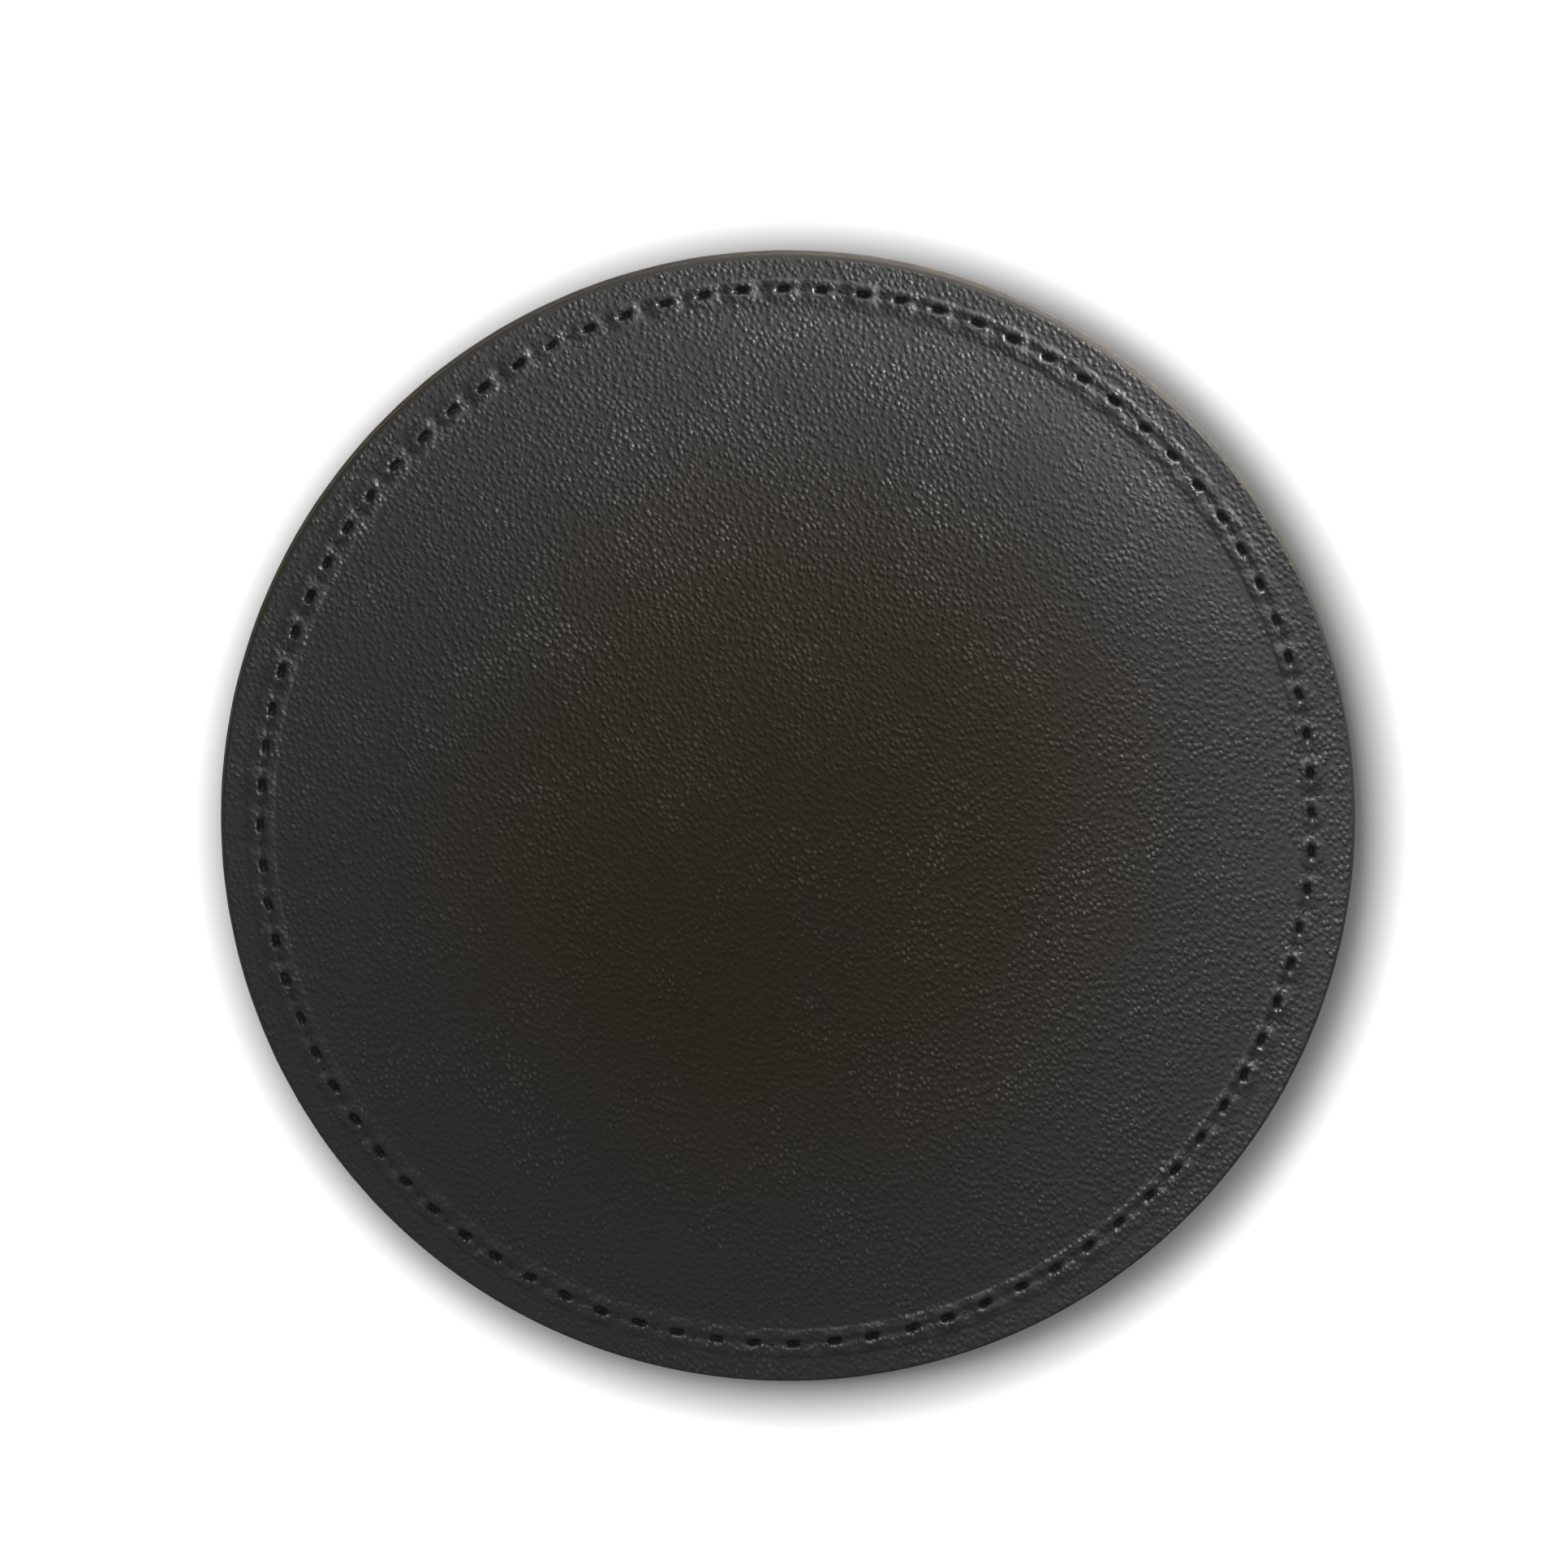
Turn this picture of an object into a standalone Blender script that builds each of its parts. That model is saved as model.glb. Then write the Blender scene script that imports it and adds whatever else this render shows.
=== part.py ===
"""A lidded leather dice cup, in metres, standing on its base at the origin with +Z up.

A stiff tube is wrapped in black leather with a butt seam at the back (+Y), lined with felt,
bound round its rim and banded round its foot. The lid is a sewn sandwich of leather and
stiffener with a shallow plug below that drops into the mouth. The lid lifts off along +Z.
"""

import math

import bpy

# Driving sizes of the cup
MOUTH_RADIUS = 0.0433  # outer face of the wall leather at the rim
BASE_RADIUS = 0.0380  # the same face at the bottom, so the cup tapers
RIM_HEIGHT = 0.0940  # from the table to the top of the rim

# Thicknesses of the sheet materials
LEATHER = 0.0012  # wall, base and lid leather
STRIP_LEATHER = 0.0009  # skived strips that are folded over an edge or banded round
CORE_WALL = 0.0020  # rolled fibreboard tube
CORE_FLOOR = 0.0020  # fibreboard disc closing the tube
FLOOR_FOAM = 0.0020  # quietens the dice
FELT = 0.0010
TAPE = 0.0005  # woven tape behind the side seam

# The cup's edges and seams
BINDING_DEPTH = 0.0090  # how far the rim binding reaches down, outside and inside
FOOT_BAND_HEIGHT = 0.0080
FOOT_CORNER = 0.0010  # rounding where the wall leather turns under
FLANGE = 0.0090  # wall leather turned in under the core
BASE_INSET = 0.0010  # base leather stops this far inside the wall
TAPE_WIDTH = 0.0120
SIDE_SEAM_SPREAD = 0.0026  # each row of stitches from the butt joint
SIDE_SEAM_MARGIN = 0.0012  # rows stop short of the binding and the foot band
BUTT_GAP = 0.0004

# The lid
LID_OVERHANG = 0.0015  # past the rim binding, all round
STIFFENER = 0.0016
STIFFENER_PROUD = 0.00015  # its cut edge shows past the two leathers
LID_FOAM = 0.0006
FOAM_MARGIN = 0.0020  # foam stops this far inside the seam
CROWN_SLOPE = 0.0060  # the leather comes down off the foam over this width
EDGE_ROUND = 0.0003
PLUG_DEPTH = 0.0080
PLUG_WALL = 0.0020
PLUG_CLEARANCE = 0.0004  # between the plug and the inside of the rim binding

# Sewing
SEAM_INSET = 0.0031  # from a cut edge to its line of stitches
THREAD_RADIUS = 0.00025
THREAD_GAP = 0.0001  # round a thread in its groove
GROOVE_DEPTH = 0.00045  # where the thread may stand proud

GAP = 0.0003  # glue line between two pieces
SEGMENTS = 48
THREAD_SIDES = 6
MERGE = 0.00001
CUTTER_REACH = 0.004  # how far a cutter runs past what it cuts

# Heights in the cup, counted from the table
FLANGE_BOTTOM = LEATHER + GAP
FLANGE_TOP = FLANGE_BOTTOM + LEATHER
CORE_BOTTOM = FLANGE_TOP + GAP
CORE_FLOOR_TOP = CORE_BOTTOM + CORE_FLOOR
FOAM_BOTTOM = CORE_FLOOR_TOP + GAP
LINING_BOTTOM = FOAM_BOTTOM + FLOOR_FOAM + GAP
SHELL_TOP = RIM_HEIGHT - STRIP_LEATHER - GAP  # wall, core and lining end under the binding
BINDING_BOTTOM = RIM_HEIGHT - BINDING_DEPTH
RIM_SEAM_HEIGHT = BINDING_BOTTOM + SEAM_INSET
FOOT_BAND_BOTTOM = FLANGE_BOTTOM + FOOT_CORNER + GAP
FOOT_BAND_TOP = FOOT_BAND_BOTTOM + FOOT_BAND_HEIGHT
FOOT_SEAM_HEIGHT = FOOT_BAND_TOP - SEAM_INSET

# Heights in the lid, counted from the lid's underside
LID_SEAT = RIM_HEIGHT + GAP
STIFFENER_BOTTOM = LEATHER + GAP
STIFFENER_TOP = STIFFENER_BOTTOM + STIFFENER
TOP_LEATHER_BOTTOM = STIFFENER_TOP + GAP
MARGIN_TOP = TOP_LEATHER_BOTTOM + LEATHER
CROWN_RISE = LID_FOAM + GAP

TAPER = (MOUTH_RADIUS - BASE_RADIUS) / RIM_HEIGHT


def wall_outside(z):
    """Radius of the wall leather's outer face at a height."""
    return BASE_RADIUS + TAPER * z


def wall_inside(z):
    return wall_outside(z) - LEATHER


def core_outside(z):
    return wall_inside(z) - GAP


def core_inside(z):
    return core_outside(z) - CORE_WALL


def felt_outside(z):
    return core_inside(z) - GAP


def felt_inside(z):
    return felt_outside(z) - FELT


def strip_outside(z):
    """Outer face of the rim binding and the foot band, which lie on the wall leather."""
    return wall_outside(z) + GAP + STRIP_LEATHER


def strip_back(z):
    """Glued face of the same strips."""
    return wall_outside(z) + GAP


def strip_inside(z):
    """Clear radius inside the rim binding."""
    return felt_inside(z) - GAP - STRIP_LEATHER


def plug_outside(z):
    """Outer face of the lid's plug at a height above the table."""
    return strip_inside(z) - PLUG_CLEARANCE


LID_RADIUS = strip_outside(RIM_HEIGHT) + LID_OVERHANG
LID_LEATHER_RADIUS = LID_RADIUS - STIFFENER_PROUD
LID_SEAM_RADIUS = LID_LEATHER_RADIUS - SEAM_INSET
BASE_LEATHER_RADIUS = BASE_RADIUS - BASE_INSET
BASE_SEAM_RADIUS = BASE_LEATHER_RADIUS - SEAM_INSET
THREAD_SINK = GROOVE_DEPTH - THREAD_GAP - THREAD_RADIUS  # a thread's centre under the surface
FLUSH_GROOVE_DEPTH = 2 * THREAD_RADIUS + THREAD_GAP  # underneath, where nothing may stand proud
GROOVE_HALF = THREAD_RADIUS + THREAD_GAP


def clear_scene():
    for obj in list(bpy.data.objects):
        bpy.data.objects.remove(obj, do_unlink=True)


def new_collection(name):
    collection = bpy.data.collections.new(name)
    bpy.context.scene.collection.children.link(collection)
    return collection


def new_material(name, colour, roughness):
    material = bpy.data.materials.new(name)
    material.use_nodes = True
    shader = material.node_tree.nodes["Principled BSDF"]
    shader.inputs["Base Color"].default_value = (*colour, 1.0)
    shader.inputs["Roughness"].default_value = roughness
    shader.inputs["Metallic"].default_value = 0.0
    material.diffuse_color = (*colour, 1.0)
    return material


clear_scene()
CUP_PARTS = new_collection("leather_dice_cup")
CUTTERS = new_collection("cutters")
BLACK_LEATHER = new_material("black_leather", (0.030, 0.029, 0.027), 0.45)
BOARD_BROWN = new_material("bonded_leather_board", (0.110, 0.062, 0.034), 0.80)
FIBREBOARD = new_material("grey_fibreboard", (0.260, 0.235, 0.200), 0.90)
FOAM_GREY = new_material("grey_foam", (0.300, 0.300, 0.310), 0.95)
RED_FELT = new_material("wine_red_felt", (0.150, 0.012, 0.020), 0.95)
BLACK_THREAD = new_material("black_thread", (0.022, 0.022, 0.024), 0.60)
WHITE_TAPE = new_material("woven_tape", (0.600, 0.590, 0.560), 0.90)


def new_empty(name, z):
    empty = bpy.data.objects.new(name, None)
    empty.location.z = z
    CUP_PARTS.objects.link(empty)
    return empty


CUP_BODY = new_empty("cup_origin", 0.0)
LID_BODY = new_empty("lid_lift_axis", LID_SEAT)


def keep(obj, name, material, parent):
    """Names a piece, puts it in the cup's collection and hangs it on its body's empty."""
    obj.name = obj.data.name = name
    obj.data.materials.clear()
    obj.data.materials.append(material)
    for collection in list(obj.users_collection):
        collection.objects.unlink(obj)
    CUP_PARTS.objects.link(obj)
    obj.parent = parent
    return obj


def as_cutter(obj, name):
    obj.name = obj.data.name = name
    obj.hide_render = True
    obj.display_type = "WIRE"
    for collection in list(obj.users_collection):
        collection.objects.unlink(obj)
    CUTTERS.objects.link(obj)
    return obj


def revolved(profile, closed):
    """Turns a profile of (radius, z) points about Z. The points run down the outer side.

    A closed profile makes a ring, and an open one starts and ends on the axis.
    """
    mesh = bpy.data.meshes.new("turned")
    count = len(profile)
    edges = [(i, i + 1) for i in range(count - 1)]
    if closed:
        edges.append((count - 1, 0))
    mesh.from_pydata([(radius, 0.0, z) for radius, z in profile], edges, [])
    obj = bpy.data.objects.new("turned", mesh)
    bpy.context.scene.collection.objects.link(obj)
    screw = obj.modifiers.new("turn", "SCREW")
    screw.axis = "Z"
    screw.angle = math.tau
    screw.steps = screw.render_steps = SEGMENTS
    screw.use_merge_vertices = True
    screw.merge_threshold = MERGE
    screw.use_smooth_shade = True
    return obj


def smooth_round_faces(obj):
    obj.data.shade_smooth()
    obj.data.set_sharp_from_angle(angle=math.radians(40))


def disc(name, material, parent, radius, bottom, thickness):
    bpy.ops.mesh.primitive_cylinder_add(
        vertices=SEGMENTS,
        radius=radius,
        depth=thickness,
        location=(0, 0, bottom + thickness / 2),
    )
    obj = keep(bpy.context.object, name, material, parent)
    smooth_round_faces(obj)
    return obj


def tube(inside, outside, bottom, top):
    """Profile of a tapering tube whose faces are given as functions of height."""
    return [
        (inside(top), top),
        (outside(top), top),
        (outside(bottom), bottom),
        (inside(bottom), bottom),
    ]


def thread_ring(name, parent, radius, z):
    bpy.ops.mesh.primitive_torus_add(
        major_radius=radius,
        minor_radius=THREAD_RADIUS,
        major_segments=SEGMENTS,
        minor_segments=THREAD_SIDES,
        location=(0, 0, z),
    )
    obj = keep(bpy.context.object, name, BLACK_THREAD, parent)
    smooth_round_faces(obj)
    return obj


def wall_box(x, width, inward, outward, bottom, top):
    """A box on the back of the wall, leaning with its taper, from inside its face to outside."""
    middle = (bottom + top) / 2
    face = math.sqrt(wall_outside(middle) ** 2 - x**2)
    bpy.ops.mesh.primitive_cube_add(
        size=1,
        location=(x, face + (outward - inward) / 2, middle),
        rotation=(-math.atan(TAPER), 0, 0),
        scale=(width, inward + outward, top - bottom),
    )
    obj = bpy.context.object
    bpy.ops.object.transform_apply(location=False, rotation=False, scale=True)
    return obj


def boolean(obj, cutter, operation):
    modifier = obj.modifiers.new(cutter.name, "BOOLEAN")
    modifier.operation = operation
    modifier.solver = "EXACT"
    modifier.object = cutter


def ring_groove(radius, z, bottom):
    """The three-sided groove for a thread ring in a flat face, from its inner edge outwards."""
    return [
        (radius - GROOVE_HALF, z),
        (radius - GROOVE_HALF, bottom),
        (radius + GROOVE_HALF, bottom),
        (radius + GROOVE_HALF, z),
    ]


def wall_groove(face, z, inward):
    """The same groove in an upright face, from its upper edge down."""
    high, low = z + GROOVE_HALF, z - GROOVE_HALF
    return [
        (face(high), high),
        (face(high) + inward * GROOVE_DEPTH, high),
        (face(low) + inward * GROOVE_DEPTH, low),
        (face(low), low),
    ]


# The cup


def make_base_leather():
    profile = [
        (0, LEATHER),
        (BASE_LEATHER_RADIUS, LEATHER),
        (BASE_LEATHER_RADIUS, EDGE_ROUND),
        (BASE_LEATHER_RADIUS - EDGE_ROUND, 0),
        *reversed(ring_groove(BASE_SEAM_RADIUS, 0, FLUSH_GROOVE_DEPTH)),
        (0, 0),
    ]
    keep(revolved(profile, closed=False), "base_leather", BLACK_LEATHER, CUP_BODY)
    thread_ring("base_seam_thread", CUP_BODY, BASE_SEAM_RADIUS, THREAD_RADIUS)


def side_seam_rows():
    """(name, x) of the two rows of stitches either side of the butt joint."""
    return (
        ("side_seam_thread_left", SIDE_SEAM_SPREAD),
        ("side_seam_thread_right", -SIDE_SEAM_SPREAD),
    )


def make_wall_leather():
    flange_inner = BASE_RADIUS - FLANGE
    profile = [
        (wall_inside(SHELL_TOP), SHELL_TOP),
        (wall_outside(SHELL_TOP), SHELL_TOP),
        (wall_outside(FLANGE_BOTTOM + FOOT_CORNER), FLANGE_BOTTOM + FOOT_CORNER),
        (wall_outside(FLANGE_BOTTOM) - FOOT_CORNER, FLANGE_BOTTOM),
        (flange_inner, FLANGE_BOTTOM),
        (flange_inner, FLANGE_TOP),
        (wall_inside(FLANGE_TOP), FLANGE_TOP),
    ]
    wall = keep(revolved(profile, closed=True), "wall_leather", BLACK_LEATHER, CUP_BODY)

    bpy.ops.mesh.primitive_cube_add(
        size=1,
        location=(0, MOUTH_RADIUS / 2 + CUTTER_REACH, RIM_HEIGHT / 2),
        scale=(BUTT_GAP, MOUTH_RADIUS, RIM_HEIGHT + 2 * CUTTER_REACH),
    )
    bpy.ops.object.transform_apply(location=False, rotation=False, scale=True)
    boolean(wall, as_cutter(bpy.context.object, "butt_joint_cutter"), "DIFFERENCE")

    low = FOOT_BAND_TOP + SIDE_SEAM_MARGIN
    high = BINDING_BOTTOM - SIDE_SEAM_MARGIN
    groove_ends = (low - THREAD_GAP, high + THREAD_GAP)
    for name, x in side_seam_rows():
        groove = wall_box(x, 2 * GROOVE_HALF, GROOVE_DEPTH, CUTTER_REACH, *groove_ends)
        boolean(wall, as_cutter(groove, name + "_groove"), "DIFFERENCE")
        make_side_seam_thread(name, x, low, high)


def make_side_seam_thread(name, x, low, high):
    middle = (low + high) / 2
    face = math.sqrt(wall_outside(middle) ** 2 - x**2)
    bpy.ops.mesh.primitive_cylinder_add(
        vertices=THREAD_SIDES,
        radius=THREAD_RADIUS,
        depth=high - low,
        location=(x, face - THREAD_SINK, middle),
        rotation=(-math.atan(TAPER), 0, 0),
    )
    smooth_round_faces(keep(bpy.context.object, name, BLACK_THREAD, CUP_BODY))


def make_core_tube():
    """The stiff tube, with the seam tape in a shallow recess at its back."""
    core = revolved(tube(core_inside, core_outside, CORE_BOTTOM, SHELL_TOP), closed=True)
    keep(core, "core_tube", FIBREBOARD, CUP_BODY)

    def back_strip(deepest, outermost, width, bottom, top):
        """A strip of tube at the back, cut from a whole turn by a box."""
        strip = revolved(tube(deepest, outermost, bottom, top), closed=True)
        depth = LEATHER + CORE_WALL + CUTTER_REACH
        box = wall_box(0, width, depth, CUTTER_REACH, bottom - CUTTER_REACH, top + CUTTER_REACH)
        return strip, box

    def tape_inside(z):
        return core_outside(z) - TAPE

    def recess_inside(z):
        return tape_inside(z) - GAP

    def past_the_core(z):
        return core_outside(z) + CUTTER_REACH

    recess, box = back_strip(
        recess_inside,
        past_the_core,
        TAPE_WIDTH + 2 * GAP,
        CORE_BOTTOM - CUTTER_REACH,
        SHELL_TOP + CUTTER_REACH,
    )
    as_cutter(recess, "tape_recess")
    boolean(recess, as_cutter(box, "tape_recess_width"), "INTERSECT")
    boolean(core, recess, "DIFFERENCE")

    tape, box = back_strip(tape_inside, core_outside, TAPE_WIDTH, CORE_BOTTOM, SHELL_TOP)
    keep(tape, "side_seam_tape", WHITE_TAPE, CUP_BODY)
    boolean(tape, as_cutter(box, "tape_width"), "INTERSECT")


def make_floor():
    core_floor_radius = core_inside(CORE_BOTTOM) - GAP
    foam_radius = core_inside(FOAM_BOTTOM) - GAP
    felt_radius = felt_inside(LINING_BOTTOM) - GAP
    filler_radius = BASE_RADIUS - FLANGE - GAP
    disc("base_filler", FIBREBOARD, CUP_BODY, filler_radius, FLANGE_BOTTOM, LEATHER)
    disc("core_floor", FIBREBOARD, CUP_BODY, core_floor_radius, CORE_BOTTOM, CORE_FLOOR)
    disc("floor_foam", FOAM_GREY, CUP_BODY, foam_radius, FOAM_BOTTOM, FLOOR_FOAM)
    disc("floor_felt", RED_FELT, CUP_BODY, felt_radius, LINING_BOTTOM, FELT)


def make_wall_felt():
    profile = tube(felt_inside, felt_outside, LINING_BOTTOM, SHELL_TOP)
    keep(revolved(profile, closed=True), "wall_felt", RED_FELT, CUP_BODY)


def make_rim_binding():
    """A leather strip folded over the rim and sewn through, with a row of stitches each side."""
    fold = STRIP_LEATHER / 2
    under_fold = SHELL_TOP + GAP
    profile = [
        (strip_inside(RIM_HEIGHT) + fold, RIM_HEIGHT),
        (strip_outside(RIM_HEIGHT) - fold, RIM_HEIGHT),
        (strip_outside(RIM_HEIGHT - fold), RIM_HEIGHT - fold),
        *wall_groove(strip_outside, RIM_SEAM_HEIGHT, inward=-1),
        (strip_outside(BINDING_BOTTOM), BINDING_BOTTOM),
        (strip_back(BINDING_BOTTOM), BINDING_BOTTOM),
        (strip_back(under_fold), under_fold),
        (felt_inside(under_fold) - GAP, under_fold),
        (felt_inside(BINDING_BOTTOM) - GAP, BINDING_BOTTOM),
        (strip_inside(BINDING_BOTTOM), BINDING_BOTTOM),
        *reversed(wall_groove(strip_inside, RIM_SEAM_HEIGHT, inward=1)),
        (strip_inside(RIM_HEIGHT - fold), RIM_HEIGHT - fold),
    ]
    keep(revolved(profile, closed=True), "rim_binding", BLACK_LEATHER, CUP_BODY)
    outer = strip_outside(RIM_SEAM_HEIGHT) - THREAD_SINK
    inner = strip_inside(RIM_SEAM_HEIGHT) + THREAD_SINK
    thread_ring("rim_seam_outer_thread", CUP_BODY, outer, RIM_SEAM_HEIGHT)
    thread_ring("rim_seam_inner_thread", CUP_BODY, inner, RIM_SEAM_HEIGHT)


def make_foot_band():
    profile = [
        (strip_back(FOOT_BAND_TOP), FOOT_BAND_TOP),
        (strip_outside(FOOT_BAND_TOP), FOOT_BAND_TOP),
        *wall_groove(strip_outside, FOOT_SEAM_HEIGHT, inward=-1),
        (strip_outside(FOOT_BAND_BOTTOM), FOOT_BAND_BOTTOM),
        (strip_back(FOOT_BAND_BOTTOM), FOOT_BAND_BOTTOM),
    ]
    keep(revolved(profile, closed=True), "foot_band", BLACK_LEATHER, CUP_BODY)
    radius = strip_outside(FOOT_SEAM_HEIGHT) - THREAD_SINK
    thread_ring("foot_seam_thread", CUP_BODY, radius, FOOT_SEAM_HEIGHT)


# The lid, whose heights are counted from its underside


def make_lid_sandwich():
    under = [
        (0, LEATHER),
        (LID_LEATHER_RADIUS, LEATHER),
        (LID_LEATHER_RADIUS, EDGE_ROUND),
        (LID_LEATHER_RADIUS - EDGE_ROUND, 0),
        *reversed(ring_groove(LID_SEAM_RADIUS, 0, FLUSH_GROOVE_DEPTH)),
        (0, 0),
    ]
    keep(revolved(under, closed=False), "lid_under_leather", BLACK_LEATHER, LID_BODY)
    thread_ring("lid_seam_under_thread", LID_BODY, LID_SEAM_RADIUS, THREAD_RADIUS)

    disc("lid_stiffener", BOARD_BROWN, LID_BODY, LID_RADIUS, STIFFENER_BOTTOM, STIFFENER)
    foam_radius = LID_SEAM_RADIUS - FOAM_MARGIN
    foam_flat = foam_radius - CROWN_SLOPE
    foam_bottom = STIFFENER_TOP + GAP
    foam = [
        (0, foam_bottom + LID_FOAM),
        (foam_flat, foam_bottom + LID_FOAM),
        (foam_radius, foam_bottom),
        (0, foam_bottom),
    ]
    keep(revolved(foam, closed=False), "lid_foam", FOAM_GREY, LID_BODY)

    crown_flat = foam_flat + GAP
    crown_foot = foam_radius + 2 * GAP
    top = [
        (0, MARGIN_TOP + CROWN_RISE),
        (crown_flat, MARGIN_TOP + CROWN_RISE),
        (crown_foot, MARGIN_TOP),
        *ring_groove(LID_SEAM_RADIUS, MARGIN_TOP, MARGIN_TOP - GROOVE_DEPTH),
        (LID_LEATHER_RADIUS - EDGE_ROUND, MARGIN_TOP),
        (LID_LEATHER_RADIUS, MARGIN_TOP - EDGE_ROUND),
        (LID_LEATHER_RADIUS, TOP_LEATHER_BOTTOM),
        (crown_foot, TOP_LEATHER_BOTTOM),
        (crown_flat, TOP_LEATHER_BOTTOM + CROWN_RISE),
        (0, TOP_LEATHER_BOTTOM + CROWN_RISE),
    ]
    keep(revolved(top, closed=False), "lid_top_leather", BLACK_LEATHER, LID_BODY)
    thread_ring("lid_seam_top_thread", LID_BODY, LID_SEAM_RADIUS, MARGIN_TOP - THREAD_SINK)


def make_plug():
    """The ring below the lid: a board ring in a folded strip of leather, round a felt disc."""
    top, bottom = -GAP, -PLUG_DEPTH
    fold = STRIP_LEATHER / 2
    inset = STRIP_LEATHER + GAP

    def outer(z):
        return plug_outside(LID_SEAT + z)

    def board_outer(z):
        return outer(z) - inset

    def board_inner(z):
        return board_outer(z) - PLUG_WALL

    def inner(z):
        return board_inner(z) - inset

    board_bottom = bottom + inset
    fold_inside = bottom + STRIP_LEATHER
    strip = [
        (outer(top) - STRIP_LEATHER, top),
        (outer(top), top),
        (outer(bottom + fold), bottom + fold),
        (outer(bottom) - fold, bottom),
        (inner(bottom) + fold, bottom),
        (inner(bottom + fold), bottom + fold),
        (inner(top), top),
        (inner(top) + STRIP_LEATHER, top),
        (inner(fold_inside) + STRIP_LEATHER, fold_inside),
        (outer(fold_inside) - STRIP_LEATHER, fold_inside),
    ]
    keep(revolved(strip, closed=True), "plug_leather", BLACK_LEATHER, LID_BODY)
    ring = tube(board_inner, board_outer, board_bottom, top)
    keep(revolved(ring, closed=True), "plug_ring", FIBREBOARD, LID_BODY)
    felt_radius = inner(top - FELT) - GAP
    disc("lid_felt", RED_FELT, LID_BODY, felt_radius, top - FELT, FELT)


make_base_leather()
make_wall_leather()
make_core_tube()
make_floor()
make_wall_felt()
make_rim_binding()
make_foot_band()
make_lid_sandwich()
make_plug()
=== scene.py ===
"""The looks of a lidded leather dice cup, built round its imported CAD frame. Metres, +Z up."""

import math

import bpy
import numpy as np
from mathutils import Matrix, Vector


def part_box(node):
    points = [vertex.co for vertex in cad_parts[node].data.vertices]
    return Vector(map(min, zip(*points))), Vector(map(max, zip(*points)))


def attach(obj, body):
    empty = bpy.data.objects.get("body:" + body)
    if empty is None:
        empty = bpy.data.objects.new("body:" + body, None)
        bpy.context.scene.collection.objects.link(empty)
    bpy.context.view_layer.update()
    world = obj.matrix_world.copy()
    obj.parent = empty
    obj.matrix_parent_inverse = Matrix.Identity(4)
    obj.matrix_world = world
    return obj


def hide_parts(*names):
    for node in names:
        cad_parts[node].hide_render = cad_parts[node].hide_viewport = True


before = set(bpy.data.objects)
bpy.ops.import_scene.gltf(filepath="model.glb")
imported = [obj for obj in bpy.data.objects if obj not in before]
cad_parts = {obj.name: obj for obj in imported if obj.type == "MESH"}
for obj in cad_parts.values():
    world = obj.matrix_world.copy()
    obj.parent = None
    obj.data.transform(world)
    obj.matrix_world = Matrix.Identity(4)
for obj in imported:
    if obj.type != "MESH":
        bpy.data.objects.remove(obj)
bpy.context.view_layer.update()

MM = 0.001


# ---------------------------------------------------------------- sizes, from the frame


def top_of(node):
    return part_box(node)[1].z


def bottom_of(node):
    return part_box(node)[0].z


def radius_of(node):
    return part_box(node)[1].x


HIDE_THICK = 1.2 * MM  # wall, base and lid leather
STRIP_THICK = 0.9 * MM  # folded and banded strips
FELT_THICK = 1.0 * MM
TAPE_THICK = 0.5 * MM
CLEAR = 0.3 * MM  # glue line between two pieces
THREAD_HALF = 0.25 * MM
PLUG_WALL = 2.0 * MM

RIM_TOP = top_of("rim_binding")
RIM_LOW = bottom_of("rim_binding")
RIM_SEAM = (top_of("rim_seam_outer_thread") + bottom_of("rim_seam_outer_thread")) / 2
SHELL_TOP = top_of("wall_leather")
FLANGE_BOTTOM = bottom_of("wall_leather")
FOOT_TOP = top_of("foot_band")
FOOT_LOW = bottom_of("foot_band")
FOOT_SEAM = (top_of("foot_seam_thread") + bottom_of("foot_seam_thread")) / 2
FACE_AT_TOP = radius_of("wall_leather")
FACE_AT_FOOT = radius_of("foot_band") - CLEAR - STRIP_THICK
TAPER = (FACE_AT_TOP - FACE_AT_FOOT) / (SHELL_TOP - FOOT_TOP)
LEAN = math.atan(TAPER)
FACING_OUT = (math.cos(LEAN), -math.sin(LEAN))  # radial and vertical, square to the wall


def wall_face(z):
    """Radius of the outer face of the wall leather."""
    return FACE_AT_TOP + TAPER * (z - SHELL_TOP)


def core_face(z):
    return wall_face(z) - HIDE_THICK - CLEAR


def strip_face(z):
    """Outer face of the rim binding and the foot band."""
    return wall_face(z) + CLEAR + STRIP_THICK


def lining_back(z):
    """The side of the wall felt that is glued to the core."""
    return radius_of("wall_felt") + TAPER * (z - SHELL_TOP)


def lining_face(z):
    return lining_back(z) - FELT_THICK


def binding_face(z):
    """Clear radius inside the rim binding."""
    return lining_face(z) - CLEAR - STRIP_THICK


LID_EDGE_RADIUS = radius_of("lid_top_leather")
LID_FACE = top_of("lid_top_leather")
LID_MARGIN_UNDER = bottom_of("lid_top_leather")
LID_MARGIN = LID_MARGIN_UNDER + HIDE_THICK
LID_SEAM_RADIUS = radius_of("lid_seam_top_thread") - THREAD_HALF
LID_BOTTOM = bottom_of("lid_under_leather")
PLUG_TOP = top_of("plug_leather")
PLUG_LOW = bottom_of("plug_leather")
BASE_SEAM_RADIUS = radius_of("base_seam_thread") - THREAD_HALF

BACK = math.pi / 2  # where the wall's joint and the strips' laps are


# ---------------------------------------------------------------- sewing


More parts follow.
